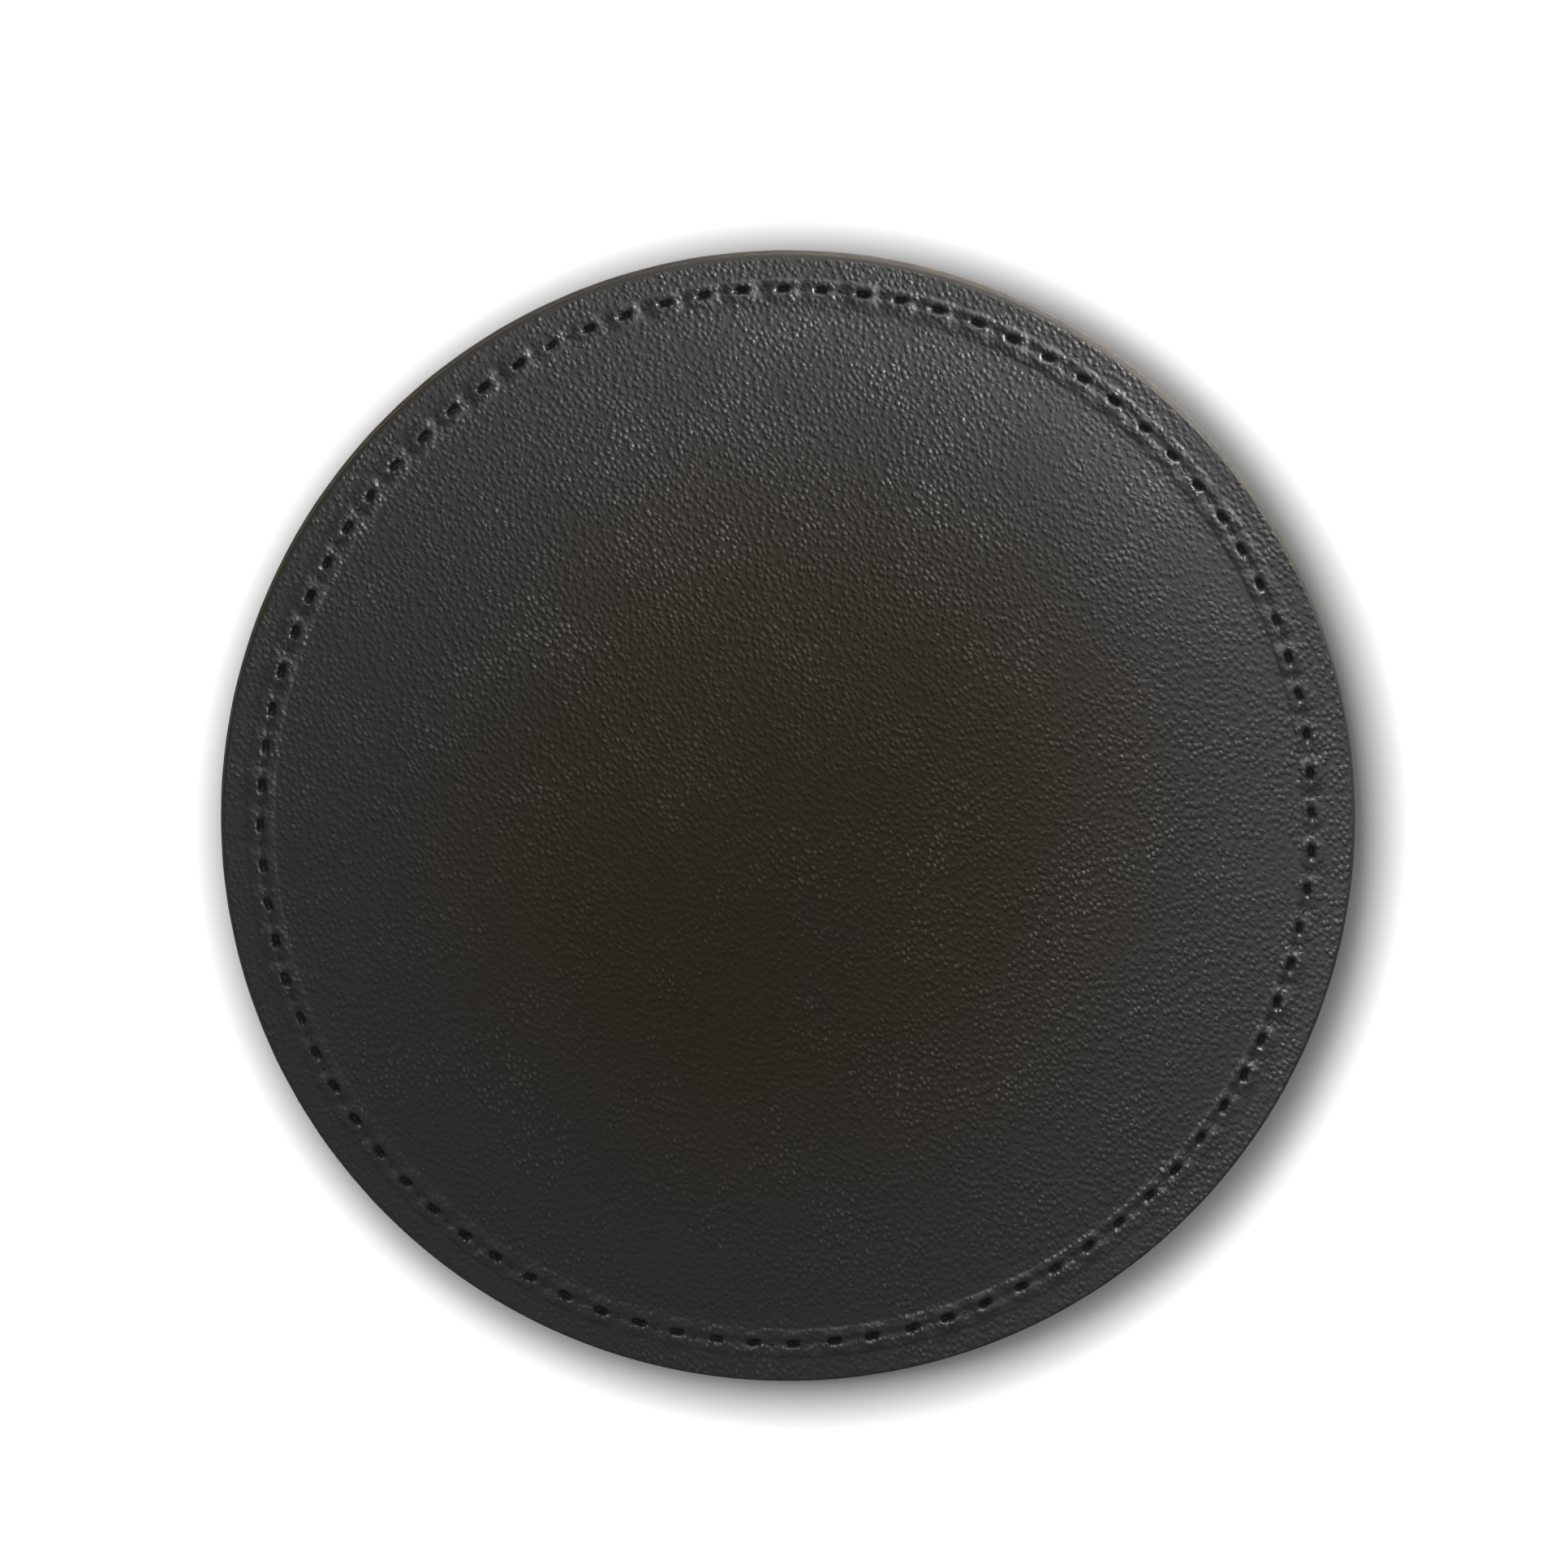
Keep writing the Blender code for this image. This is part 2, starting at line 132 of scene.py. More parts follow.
STITCH_PITCH = 3.2 * MM
HOLE_HALF_LENGTH = 0.52 * MM
HOLE_HALF_WIDTH = 0.25 * MM
HOLE_DEPTH = 0.50 * MM
PULL_HALF_WIDTH = 0.34 * MM  # the groove that the tight thread pulls the leather into
PULL_DEPTH = 0.14 * MM
LIP_HEIGHT = 0.19 * MM
LIP_REACH = 0.26 * MM  # from a hole's edge out to the crest of its lip
SEAM_STEP = 0.10 * MM  # between rows beside the stitches
SEAM_REACH = 1.2 * MM  # how far the stitches disturb the leather, either side
THREAD_SINK = 0.31 * MM  # from the leather's face down to the thread's line


def scatter(number, seed):
    """A fixed random value from 0 to 1 for each stitch number."""
    value = np.sin(np.asarray(number, float) * 12.9898 + seed * 78.233) * 43758.5453
    return value - np.floor(value)


def hole_distance(across, along, pitch, seed):
    """How far a point is outside the nearest hole of the sewing, below 0 inside it.

    across is the distance from the line and along the distance along it, from a hole.
    """
    number = np.floor(along / pitch + 0.5)
    from_hole = along - number * pitch + (scatter(number, seed) - 0.5) * 0.25 * MM
    beside = across + (scatter(number, seed + 1) - 0.5) * 0.12 * MM
    slant = 0.4 * scatter(number, seed + 3) - 0.3  # the awl is never quite in line
    lengthwise = from_hole + slant * beside
    sideways = beside - slant * from_hole
    straight = HOLE_HALF_LENGTH - HOLE_HALF_WIDTH
    past_end = np.maximum(np.abs(lengthwise) - straight, 0.0)
    return np.hypot(past_end, sideways) - HOLE_HALF_WIDTH


def sewn_relief(across, along, pitch, strength=1.0, seed=1):
    """How far leather stands up or is pulled down near a line of stitches."""
    outside = hole_distance(across, along, pitch, seed)
    number = np.floor(along / pitch + 0.5)
    depth = HOLE_DEPTH * (0.8 + 0.4 * scatter(number, seed + 2))
    into_wall = np.maximum(outside + HOLE_HALF_WIDTH, 0.0) / (0.8 * HOLE_HALF_WIDTH)
    hole = np.exp(-(into_wall**4))
    past_lip = outside - LIP_REACH
    lip = np.exp(-((past_lip / np.where(past_lip < 0, LIP_REACH, 2.2 * LIP_REACH)) ** 2))
    pull = np.exp(-((across / PULL_HALF_WIDTH) ** 2))
    pillow = np.exp(-(((np.abs(across) - 1.1 * MM) / (0.6 * MM)) ** 2))
    pillow *= 0.5 - 0.5 * np.cos(math.tau * (along / pitch - number))
    height = LIP_HEIGHT * (0.7 + 0.6 * scatter(number, seed + 4))
    return strength * (height * lip + 0.3 * LIP_HEIGHT * pillow - depth * hole - PULL_DEPTH * pull)


# ---------------------------------------------------------------- turned skins


def spread(start, end, step):
    """Points from start to end, both included, no further apart than step."""
    count = max(1, math.ceil(math.dist(start, end) / step))
    return [
        (start[0] + (end[0] - start[0]) * i / count, start[1] + (end[1] - start[1]) * i / count)
        for i in range(count + 1)
    ]


def rounded(corners, radius, steps=5):
    """The outline through these corners with each inner one rounded off."""
    outline = [corners[0]]
    for before, corner, after in zip(corners, corners[1:], corners[2:]):
        a, b, c = Vector(before), Vector(corner), Vector(after)
        reach = min(radius, (a - b).length * 0.45, (c - b).length * 0.45)
        start = b + (a - b).normalized() * reach
        end = b + (c - b).normalized() * reach
        for i in range(steps + 1):
            t = i / steps
            outline.append(tuple(start * (1 - t) ** 2 + b * 2 * t * (1 - t) + end * t**2))
    outline.append(corners[-1])
    return outline


class Row:
    """One turn of points: its radius and height, and how many fine columns it steps over.

    across is its distance from the line of stitches, where it is near one.
    """

    def __init__(self, radius, z, stride=1, across=None):
        self.radius, self.z, self.stride, self.across = radius, z, stride, across


def rows_of(points, stride=1):
    return [Row(radius, z, stride) for radius, z in points]


def seam_rows(start, end, seam):
    """Close rows from start to end, which know how far they are from the stitches at seam."""
    to_seam = math.dist(start, seam)
    return [Row(*point, 1, math.dist(start, point) - to_seam) for point in spread(start, end, SEAM_STEP)]


def whole_turn(columns):
    return BACK + np.linspace(0, math.tau, columns + 1)


def part_turn(middle, width, columns):
    return middle + np.linspace(-width / 2, width / 2, columns + 1)


def outward_normals(rows, closed):
    """Unit normals (radial, vertical) of a profile that runs down its outer side."""
    points = np.array([(row.radius, row.z) for row in rows])
    before, after = np.roll(points, 1, axis=0), np.roll(points, -1, axis=0)
    if not closed:
        before[0], after[-1] = points[0], points[-1]
    along = after - before
    along /= np.maximum(np.linalg.norm(along, axis=1), 1e-12)[:, None]
    return np.stack([-along[:, 1], along[:, 0]], axis=1), points


def turned_skin(name, rows, angles, closed, relief=None, flat_grain=False):
    """Turns rows about Z through these angles into one closed mesh.

    Rows run down the outer side. A closed profile makes a ring, and an open one starts and
    ends on the axis. Angles short of a whole turn leave the ring open, with two end faces.
    relief(angle, row) gives how far each point moves along its normal. The UV map called
    hide is in metres: round and along the profile, or X and Y where flat_grain is set.
    """
    normals, profile = outward_normals(rows, closed)
    steps = np.linalg.norm(np.diff(profile, axis=0), axis=1)
    length = np.concatenate([[0.0], np.cumsum(steps)])
    columns = len(angles) - 1
    wraps = angles[-1] - angles[0] > math.tau - 1e-6
    widest = max(row.radius for row in rows)
    tiny = 0.1 * CLEAR * CLEAR  # a row this close to the axis is a single point

    points, first, taken = [], [], []
    for i, row in enumerate(rows):
        first.append(len(points))
        if row.radius < tiny:
            points.append((0.0, 0.0, row.z))
            taken.append(1)
            continue
        angle = angles[0 : columns if wraps else columns + 1 : row.stride]
        offset = relief(angle, row) if relief else np.zeros(len(angle))
        radius = row.radius + normals[i, 0] * offset
        z = row.z + normals[i, 1] * offset
        points.extend(zip(radius * np.cos(angle), radius * np.sin(angle), z))
        taken.append(len(angle))

    faces, charts = [], []

    def add(corners):
        faces.append([corner[0] for corner in corners])
        charts.extend((corner[1], corner[2]) for corner in corners)

    def corner(i, column, along):
        """(vertex, u, v) of a row's column. The last column may be the first again."""
        vertex = first[i] + (column // rows[i].stride) % taken[i]
        if flat_grain:
            return vertex, points[vertex][0], points[vertex][1]
        return vertex, angles[column] * widest, along

    def band(a, b, along_a, along_b):
        """The faces between two rows. Where one row is coarser, they have extra corners."""
        coarse = max(rows[a].stride, rows[b].stride)
        for start in range(0, columns, coarse):
            end = start + coarse
            upper = [corner(a, c, along_a) for c in range(end, start - 1, -rows[a].stride)]
            lower = [corner(b, c, along_b) for c in range(start, end + 1, rows[b].stride)]
            if taken[a] == 1:
                upper = upper[:1]
            if taken[b] == 1:
                lower = lower[:1]
            add(lower + upper)

    for i in range(len(rows) - 1):
        band(i, i + 1, length[i], length[i + 1])
    if closed:
        band(len(rows) - 1, 0, length[-1], length[-1] + math.dist(profile[-1], profile[0]))
    if not wraps:
        add([corner(i, 0, length[i]) for i in range(len(rows))])
        add([corner(i, columns, length[i]) for i in reversed(range(len(rows)))])

    mesh = bpy.data.meshes.new(name)
    mesh.from_pydata(points, [], faces)
    chart = mesh.uv_layers.new(name="hide")
    chart.data.foreach_set("uv", np.array(charts, np.float32).ravel())
    mesh.update()
    mesh.shade_smooth()
    mesh.set_sharp_from_angle(angle=math.radians(50))
    obj = bpy.data.objects.new(name, mesh)
    bpy.context.scene.collection.objects.link(obj)
    return obj


# ---------------------------------------------------------------- stitches


def new_node(tree, kind, inputs=(), **settings):
    """Adds a node. inputs are (socket name or number, value or output socket) pairs."""
    node = tree.nodes.new(kind)
    for key, value in settings.items():
        setattr(node, key, value)
    for key, value in inputs:
        if isinstance(value, bpy.types.NodeSocket):
            tree.links.new(value, node.inputs[key])
        else:
            node.inputs[key].default_value = value
    return node


def math_node(tree, operation, *values):
    node = new_node(tree, "ShaderNodeMath", enumerate(values), operation=operation)
    return node.outputs[0]


def stitch_row_tree():
    """Geometry Nodes that lay two-ply stitches end to end along the line they are given."""
    tree = bpy.data.node_groups.new("stitch_row", "GeometryNodeTree")

    def add(kind, *inputs, **settings):
        return new_node(tree, kind, inputs, **settings)

    def maths(operation, *values):
        return math_node(tree, operation, *values)

    for name, kind in (
        ("Line", "Geometry"),
        ("Stitches", "Int"),
        ("Stitch Length", "Float"),
        ("Strand Radius", "Float"),
        ("Middle Height", "Float"),
        ("End Dip", "Float"),
        ("Twists", "Float"),
        ("Thread", "Material"),
    ):
        tree.interface.new_socket(name, in_out="INPUT", socket_type="NodeSocket" + kind)
    tree.interface.new_socket("Stitches", in_out="OUTPUT", socket_type="NodeSocketGeometry")
    given = add("NodeGroupInput").outputs

    straight = add("GeometryNodeCurvePrimitiveLine", ("End", (1.0, 0.0, 0.0))).outputs[0]
    even = add("GeometryNodeResampleCurve", ("Curve", straight), ("Count", STRAND_POINTS)).outputs[0]
    strands = add(
        "GeometryNodeDuplicateElements", ("Geometry", even), ("Amount", 2), domain="SPLINE"
    ).outputs
    along = add("GeometryNodeInputPosition").outputs[0]
    along = add("ShaderNodeSeparateXYZ", (0, along)).outputs[0]
    x = maths("MULTIPLY", maths("SUBTRACT", along, 0.5), given["Stitch Length"])
    ends = maths("ABSOLUTE", maths("MULTIPLY_ADD", along, 2.0, -1.0))
    dip = maths("MULTIPLY", maths("POWER", ends, 5.0), given["End Dip"])
    arch = maths("SUBTRACT", given["Middle Height"], dip)
    phase = maths("MULTIPLY", strands["Duplicate Index"], math.pi)
    turned = maths("MULTIPLY", along, given["Twists"])
    turned = maths("MULTIPLY_ADD", turned, math.tau, phase)
    lay_radius = maths("MULTIPLY", given["Strand Radius"], 0.85)
    y = maths("MULTIPLY", maths("COSINE", turned), lay_radius)
    z = maths("MULTIPLY_ADD", maths("SINE", turned), lay_radius, arch)
    place = add("ShaderNodeCombineXYZ", ("X", x), ("Y", y), ("Z", z)).outputs[0]
    strands = add("GeometryNodeSetPosition", ("Geometry", strands["Geometry"]), ("Position", place))
    radius = ("Radius", given["Strand Radius"])
    section = add("GeometryNodeCurvePrimitiveCircle", ("Resolution", STRAND_SIDES), radius)
    stitch = add(
        "GeometryNodeCurveToMesh",
        ("Curve", strands.outputs[0]),
        ("Profile Curve", section.outputs[0]),
        ("Fill Caps", True),
    )

    line = add("GeometryNodeMeshToCurve", ("Mesh", given["Line"])).outputs[0]
    spots = add("GeometryNodeResampleCurve", ("Curve", line), ("Count", given["Stitches"]))
    facing = add("GeometryNodeInputNamedAttribute", ("Name", "facing"), data_type="FLOAT_VECTOR")
    turn = add(
        "FunctionNodeAxesToRotation",
        ("Primary Axis", facing.outputs[0]),
        ("Secondary Axis", add("GeometryNodeInputTangent").outputs[0]),
        primary_axis="Z",
        secondary_axis="X",
    )
    wobble = add(
        "FunctionNodeRandomValue",
        (0, (0.94, 0.9, 0.9)),
        (1, (1.04, 1.1, 1.1)),
        ("Seed", 7),
        data_type="FLOAT_VECTOR",
    )
    sewn = add(
        "GeometryNodeInstanceOnPoints",
        ("Points", spots.outputs[0]),
        ("Instance", stitch.outputs[0]),
        ("Rotation", turn.outputs[0]),
        ("Scale", wobble.outputs[0]),
    )
    real = add("GeometryNodeRealizeInstances", (0, sewn.outputs[0])).outputs[0]
    smooth = add("GeometryNodeSetShadeSmooth", (0, real)).outputs[0]
    finished = add("GeometryNodeSetMaterial", (0, smooth), ("Material", given["Thread"]))
    add("NodeGroupOutput", (0, finished.outputs[0]))
    return tree


STRAND_POINTS = 9
STRAND_SIDES = 5
STRAND_RADIUS = 0.14 * MM
STITCH_RISE = 0.05 * MM  # of a stitch's middle over its row's line
COLUMNS_PER_STITCH = 12  # of the leather that the stitches lie in
STITCH_ROW = stitch_row_tree()


def stitch_line(name, points, facings, closed, count, body, *nodes, height=STITCH_RISE):
    """A row of count stitches along these points, each facing the way given there."""
    mesh = bpy.data.meshes.new(name)
    edges = [(i, i + 1) for i in range(len(points) - 1)]
    if closed:
        edges.append((len(points) - 1, 0))
    mesh.from_pydata([tuple(p) for p in points], edges, [])
    facing = mesh.attributes.new("facing", "FLOAT_VECTOR", "POINT")
    facing.data.foreach_set("vector", np.array(facings, np.float32).ravel())
    line = bpy.data.objects.new(name + "_line", mesh)
    bpy.context.scene.collection.objects.link(line)
    modifier = line.modifiers.new("stitches", "NODES")
    modifier.node_group = STITCH_ROW
    values = {
        "Stitches": count,
        "Stitch Length": STITCH_PITCH - HOLE_HALF_LENGTH,
        "Strand Radius": STRAND_RADIUS,
        "Middle Height": height,
        "End Dip": HOLE_DEPTH,
        "Twists": 1.5,
        "Thread": THREAD,
    }
    for socket in STITCH_ROW.interface.items_tree:
        if socket.in_out == "INPUT" and socket.name in values:
            modifier[socket.identifier] = values[socket.name]
    graph = bpy.context.evaluated_depsgraph_get()
    made = bpy.data.meshes.new_from_object(line.evaluated_get(graph))
    made.name = name
    bpy.data.objects.remove(line)
    obj = bpy.data.objects.new(name, made)
    bpy.context.scene.collection.objects.link(obj)
    finish_piece(obj, None, body, "thread", *nodes)


def stitch_ring(name, radius, z, facing, count, body, node, start=BACK, wander=None):
    """Stitches round a circle. facing is (radial, vertical), and start the angle of a hole."""
    samples = count * 4
    angles = start + math.tau * (np.arange(samples) + 2) / samples
    radii = radius + (wander(angles) if wander else 0 * angles)
    points = np.stack([radii * np.cos(angles), radii * np.sin(angles), z + 0 * angles], axis=1)
    radial, vertical = facing
    facings = np.stack([radial * np.cos(angles), radial * np.sin(angles), vertical + 0 * angles], axis=1)
    stitch_line(name, points, facings, True, count, body, node)


# ---------------------------------------------------------------- finishes


class Finish:
    """A material under construction, with short ways to add its nodes."""

    def __init__(self, name):
        self.material = bpy.data.materials.new(name)
        self.material.use_nodes = True
        self.tree = self.material.node_tree
        self.shader = self.tree.nodes["Principled BSDF"]

    def add(self, kind, inputs=(), **settings):
        return new_node(self.tree, kind, inputs, **settings)

    def maths(self, operation, *values):
        return math_node(self.tree, operation, *values)

    def hide_chart(self):
        return self.add("ShaderNodeUVMap", uv_map="hide").outputs[0]

    def in_object(self):
        return self.add("ShaderNodeTexCoord").outputs["Object"]

    def noise(self, where, scale, detail=3.0, roughness=0.55, colour=False):
        node = self.add(
            "ShaderNodeTexNoise",
            [("Vector", where), ("Scale", scale), ("Detail", detail), ("Roughness", roughness)],
        )
        return node.outputs["Color" if colour else "Fac"]

    def range(self, value, low, high, to_low, to_high, smooth=False):
        node = self.add(
            "ShaderNodeMapRange",
            [(0, value), (1, low), (2, high), (3, to_low), (4, to_high)],
            interpolation_type="SMOOTHSTEP" if smooth else "LINEAR",
        )
        return node.outputs[0]

    def mixed(self, share, first, second):
        """Blends two colours. Either may be a colour or a socket."""
        inputs = [(0, share), (6, first), (7, second)]
        return self.add("ShaderNodeMix", inputs, data_type="RGBA").outputs[2]

    def bump(self, height, depth):
        return self.add("ShaderNodeBump", [("Height", height), ("Distance", depth)]).outputs[0]

    def vectors(self, operation, *inputs):
        return self.add("ShaderNodeVectorMath", inputs, operation=operation).outputs[0]

    def bent(self, where, scale, reach):
        """A chart pushed about by noise, up to about reach."""
        push = self.vectors("SUBTRACT", (0, self.noise(where, scale, colour=True)), (1, (0.5,) * 3))
        push = self.vectors("SCALE", (0, push), ("Scale", 2 * reach))
        return self.vectors("ADD", (0, where), (1, push))

    def leaned(self, where, lean, stretch):
        """A chart on which a pattern is stretched along a direction."""
        inputs = [("Vector", where), ("Rotation", (0.0, 0.0, lean)), ("Scale", (stretch, 1.0, 1.0))]
        return self.add("ShaderNodeMapping", inputs, vector_type="TEXTURE").outputs[0]

    def cells(self, where, scale, dimensions="2D"):
        """A cell pattern's outputs: Distance to each cell's middle and a Color for each cell."""
        inputs = [("Vector", where), ("Scale", scale)]
        return self.add("ShaderNodeTexVoronoi", inputs, voronoi_dimensions=dimensions).outputs

    def set(self, **sockets):
        for name, value in sockets.items():
            socket = self.shader.inputs[name.replace("_", " ")]
            if isinstance(value, bpy.types.NodeSocket):
                self.tree.links.new(value, socket)
            else:
                socket.default_value = value
        return self.material


def rgb(red, green, blue):
    return (red, green, blue, 1.0)


# Lighter colour for the grain's peaks: partly rubbed wear, partly a painted highlight standing in for
# the glints on them.
WEAR_AND_HIGHLIGHT_LEATHER = rgb(0.040, 0.038, 0.033)
DRESSED_EDGE = rgb(0.0090, 0.0080, 0.0050)
GRAIN_DEPTH = 0.095 * MM
GRAIN_SIZE = 0.46 * MM  # from one pebble of the leather's grain to the next
GRAIN_LEAN = math.radians(-56)  # the way the pebbles are drawn out
GRAIN_STRETCH = 1.25


def black_leather(name, warm, cool, margin=None):
    """Black leather with a fine pebbled grain, faint creases, and shine where it is pressed.

    margin is (colour, radius): the disc's colour is blended towards that colour from partway out to that
    radius, its seam.
    """
    made = Finish(name)
    chart = made.hide_chart()
    bent = made.bent(chart, 900.0, 0.14 * MM)
    leaned = made.leaned(bent, GRAIN_LEAN, GRAIN_STRETCH)
    cells = made.cells(leaned, 1 / GRAIN_SIZE)
    pebbles = made.range(cells["Distance"], 0.05, 0.62, 1.0, 0.0, smooth=True)
    uneven = made.maths("MULTIPLY_ADD", cells["Color"], 1.1, 0.3)
    pebbles = made.maths("MULTIPLY", pebbles, uneven)
    fine = made.noise(made.leaned(chart, GRAIN_LEAN, 1.4), 2.4 / GRAIN_SIZE, 3.0, 0.6)
    patches = made.range(made.noise(chart, 120.0, 4.0), 0.32, 0.68, 0.45, 1.0)
    grain = made.maths("MULTIPLY", made.maths("MULTIPLY_ADD", fine, 0.7, pebbles), patches)
    creases = made.noise(made.leaned(bent, GRAIN_LEAN + 0.5, 4.0), 380.0, 2.0)
    creases = made.maths("ABSOLUTE", made.maths("SUBTRACT", creases, 0.5))
    creases = made.range(creases, 0.0, 0.07, 0.0, 1.0)

    edge = made.add("ShaderNodeAttribute", attribute_name="burnished").outputs["Fac"]
    pressed = made.add("ShaderNodeAttribute", attribute_name="pressed").outputs["Fac"]
    bare = made.maths("SUBTRACT", 1.0, edge)
    height = made.maths("MULTIPLY_ADD", creases, 0.1, grain)
    height = made.maths("MULTIPLY", height, bare)
    normal = made.bump(height, GRAIN_DEPTH)

    tint = made.range(made.noise(chart, 34.0, 3.0), 0.3, 0.7, 0.0, 1.0)
    hide = made.mixed(tint, warm, cool)
    if margin:
        colour, radius = margin
        from_axis = made.add("ShaderNodeVectorMath", [(0, chart)], operation="LENGTH").outputs["Value"]
        beyond = made.range(from_axis, radius * 0.45, radius, 0.0, 1.0)
        hide = made.mixed(beyond, hide, colour)
    # Lighter on the grain's peaks: partly rubbed wear, partly painted highlight.
    wear_and_highlight = made.maths("MULTIPLY", made.range(grain, 0.95, 1.5, 0.0, 0.5), bare)
    hide = made.mixed(wear_and_highlight, hide, WEAR_AND_HIGHLIGHT_LEATHER)
    dressed = made.mixed(edge, hide, DRESSED_EDGE)
    roughness = made.range(grain, 0.2, 1.3, 0.60, 0.44)
    roughness = made.maths("MULTIPLY_ADD", edge, 0.16, roughness)
    roughness = made.maths("MULTIPLY_ADD", pressed, -0.2, roughness)
    made.set(Base_Color=dressed, Roughness=roughness, Normal=normal)
    return made.set(Specular_IOR_Level=0.4)


def raw_board(name, colour, dark):
    """Pressed board: fibres in layers, with a matt, slightly furry cut edge."""
    made = Finish(name)
    where = made.in_object()
    layers = made.add("ShaderNodeMapping", [("Vector", where), ("Scale", (1.0, 1.0, 9.0))]).outputs[0]
    fibres = made.noise(layers, 900.0, 4.0)
    blotches = made.noise(where, 160.0, 3.0)
    share = made.maths("MULTIPLY", made.range(fibres, 0.35, 0.65, 0.0, 1.0), blotches)
    made.set(Base_Color=made.mixed(share, dark, colour), Roughness=0.8)
    return made.set(Normal=made.bump(fibres, 0.05 * MM))


def wool_felt(name, colour, shade):
    """Felt: short tangled fibres, matt, with a soft sheen at the edges of forms."""
    made = Finish(name)
    where = made.in_object()
    tangle = made.noise(where, 2600.0, 5.0, 0.7)
    tufts = made.noise(where, 520.0, 3.0)
    height = made.maths("MULTIPLY_ADD", tufts, 0.8, tangle)
    share = made.range(height, 0.6, 1.1, 0.0, 1.0)
    made.set(Base_Color=made.mixed(share, shade, colour), Roughness=0.95)
    made.set(Sheen_Weight=0.5, Sheen_Roughness=0.5, Specular_IOR_Level=0.2)
    return made.set(Normal=made.bump(height, 0.12 * MM))


def sewing_thread(name, colour):
    """Bonded thread: fine filaments with a waxy gloss."""
    made = Finish(name)
    filaments = made.noise(made.in_object(), 9000.0, 2.0)
    made.set(Base_Color=colour, Roughness=0.65, Specular_IOR_Level=0.3)
    return made.set(Normal=made.bump(filaments, 0.02 * MM))


def soft_foam(name, colour, shade):
    made = Finish(name)
    cells = made.cells(made.in_object(), 2800.0, "3D")["Distance"]
    made.set(Base_Color=made.mixed(cells, colour, shade), Roughness=0.95)
    return made.set(Normal=made.bump(cells, 0.1 * MM))


def woven_tape(name, colour, shade):
    made = Finish(name)
    chart = made.hide_chart()
    inputs = [("Vector", chart), ("Scale", 700.0), ("Distortion", 0.4), ("Detail", 1.0)]
    waves = [made.add("ShaderNodeTexWave", inputs, bands_direction=way) for way in ("X", "Y")]
    weave = made.maths("MULTIPLY", *[wave.outputs["Fac"] for wave in waves])
    made.set(Base_Color=made.mixed(weave, shade, colour), Roughness=0.9)
    return made.set(Normal=made.bump(weave, 0.08 * MM))


WARM_BLACK, COOL_BLACK = rgb(0.0072, 0.0050, 0.0016), rgb(0.0062, 0.0050, 0.0026)
# Lighter and greyer than the other blacks; the lid's colour is blended towards it out to the seam.
MARGIN_BLACK = rgb(0.0098, 0.0096, 0.0097)
LID_HIDE = black_leather("lid_leather", WARM_BLACK, COOL_BLACK, (MARGIN_BLACK, LID_SEAM_RADIUS))
CUP_HIDE = black_leather("cup_leather", WARM_BLACK, COOL_BLACK)
BROWN_BOARD = raw_board("bonded_leather_board", rgb(0.040, 0.032, 0.022), rgb(0.016, 0.012, 0.008))
GREY_BOARD = raw_board("grey_fibreboard", rgb(0.30, 0.27, 0.23), rgb(0.17, 0.15, 0.12))
WINE_FELT = wool_felt("wine_felt", rgb(0.165, 0.012, 0.020), rgb(0.075, 0.005, 0.010))
THREAD = sewing_thread("black_thread", rgb(0.0060, 0.0062, 0.0080))
GREY_FOAM = soft_foam("grey_foam", rgb(0.34, 0.34, 0.35), rgb(0.20, 0.20, 0.21))
TAPE = woven_tape("cotton_tape", rgb(0.62, 0.60, 0.56), rgb(0.40, 0.38, 0.34))


# ---------------------------------------------------------------- shared by all pieces


def finish_piece(obj, material, body, slot, *nodes):
    if material:
        obj.data.materials.clear()
        obj.data.materials.append(material)
    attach(obj, body)
    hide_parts(*nodes)
    return obj


def mark(obj, name, share):
    """Gives each point of a piece a value from 0 to 1, which share(radius, angle, z) says."""
    place = np.empty(len(obj.data.vertices) * 3, np.float32)
    obj.data.vertices.foreach_get("co", place)
    x, y, z = place.reshape(-1, 3).T
    values = obj.data.attributes.new(name, "FLOAT", "POINT")
    value = np.clip(share(np.hypot(x, y), np.arctan2(y, x), z), 0, 1)
    values.data.foreach_set("value", value.astype(np.float32))


def burnish(obj, share):
    """Marks how much of each point is smooth dressed edge."""
    mark(obj, "burnished", share)


def near(value, edge, reach=0.35 * MM):
    """1 at the edge, falling to 0 at reach from it."""
    return 1.2 - np.abs(value - edge) / reach


def sewn_ring(radius, count, start=BACK, wander=None, strength=1.0, extra=None):
    """Relief for a turned skin with a ring of count stitches, one hole at the angle start."""

    def relief(angle, row):
        moved = extra(angle, row) if extra else np.zeros(len(angle))
        if row.across is None:
            return moved
        across = row.across - (wander(angle) if wander else 0.0)
        fade = np.clip((SEAM_REACH - abs(row.across)) / (2 * SEAM_STEP), 0, 1)
        pitch = math.tau * radius / count
        return moved + fade * strength * sewn_relief(across, (angle - start) * radius, pitch)

    return relief


def lap(angle, radius, height=0.28 * MM, reach=9 * MM):
    """A strip's end lies over its start: a step at the back, skived to nothing over reach."""
    past = (np.mod(angle - BACK + math.pi, math.tau) - math.pi) * radius
    step = 1 / (1 + np.exp(-past / (0.05 * MM)))
    return height * step * np.clip(1 - past / reach, 0, 1)


def soft_waves(angle, row, height):
    """Gentle unevenness of a soft sheet."""
    down = row.z + row.radius
    first = np.sin(3 * angle + down * 210)
    second = np.sin(7 * angle - down * 330 + 1.3)
    third = np.sin(13 * angle + down * 520 + 4.1)
    return height * (first + second + third) / 3


def stitches_for(circumference):
    return round(circumference / STITCH_PITCH)


# ---------------------------------------------------------------- the lid


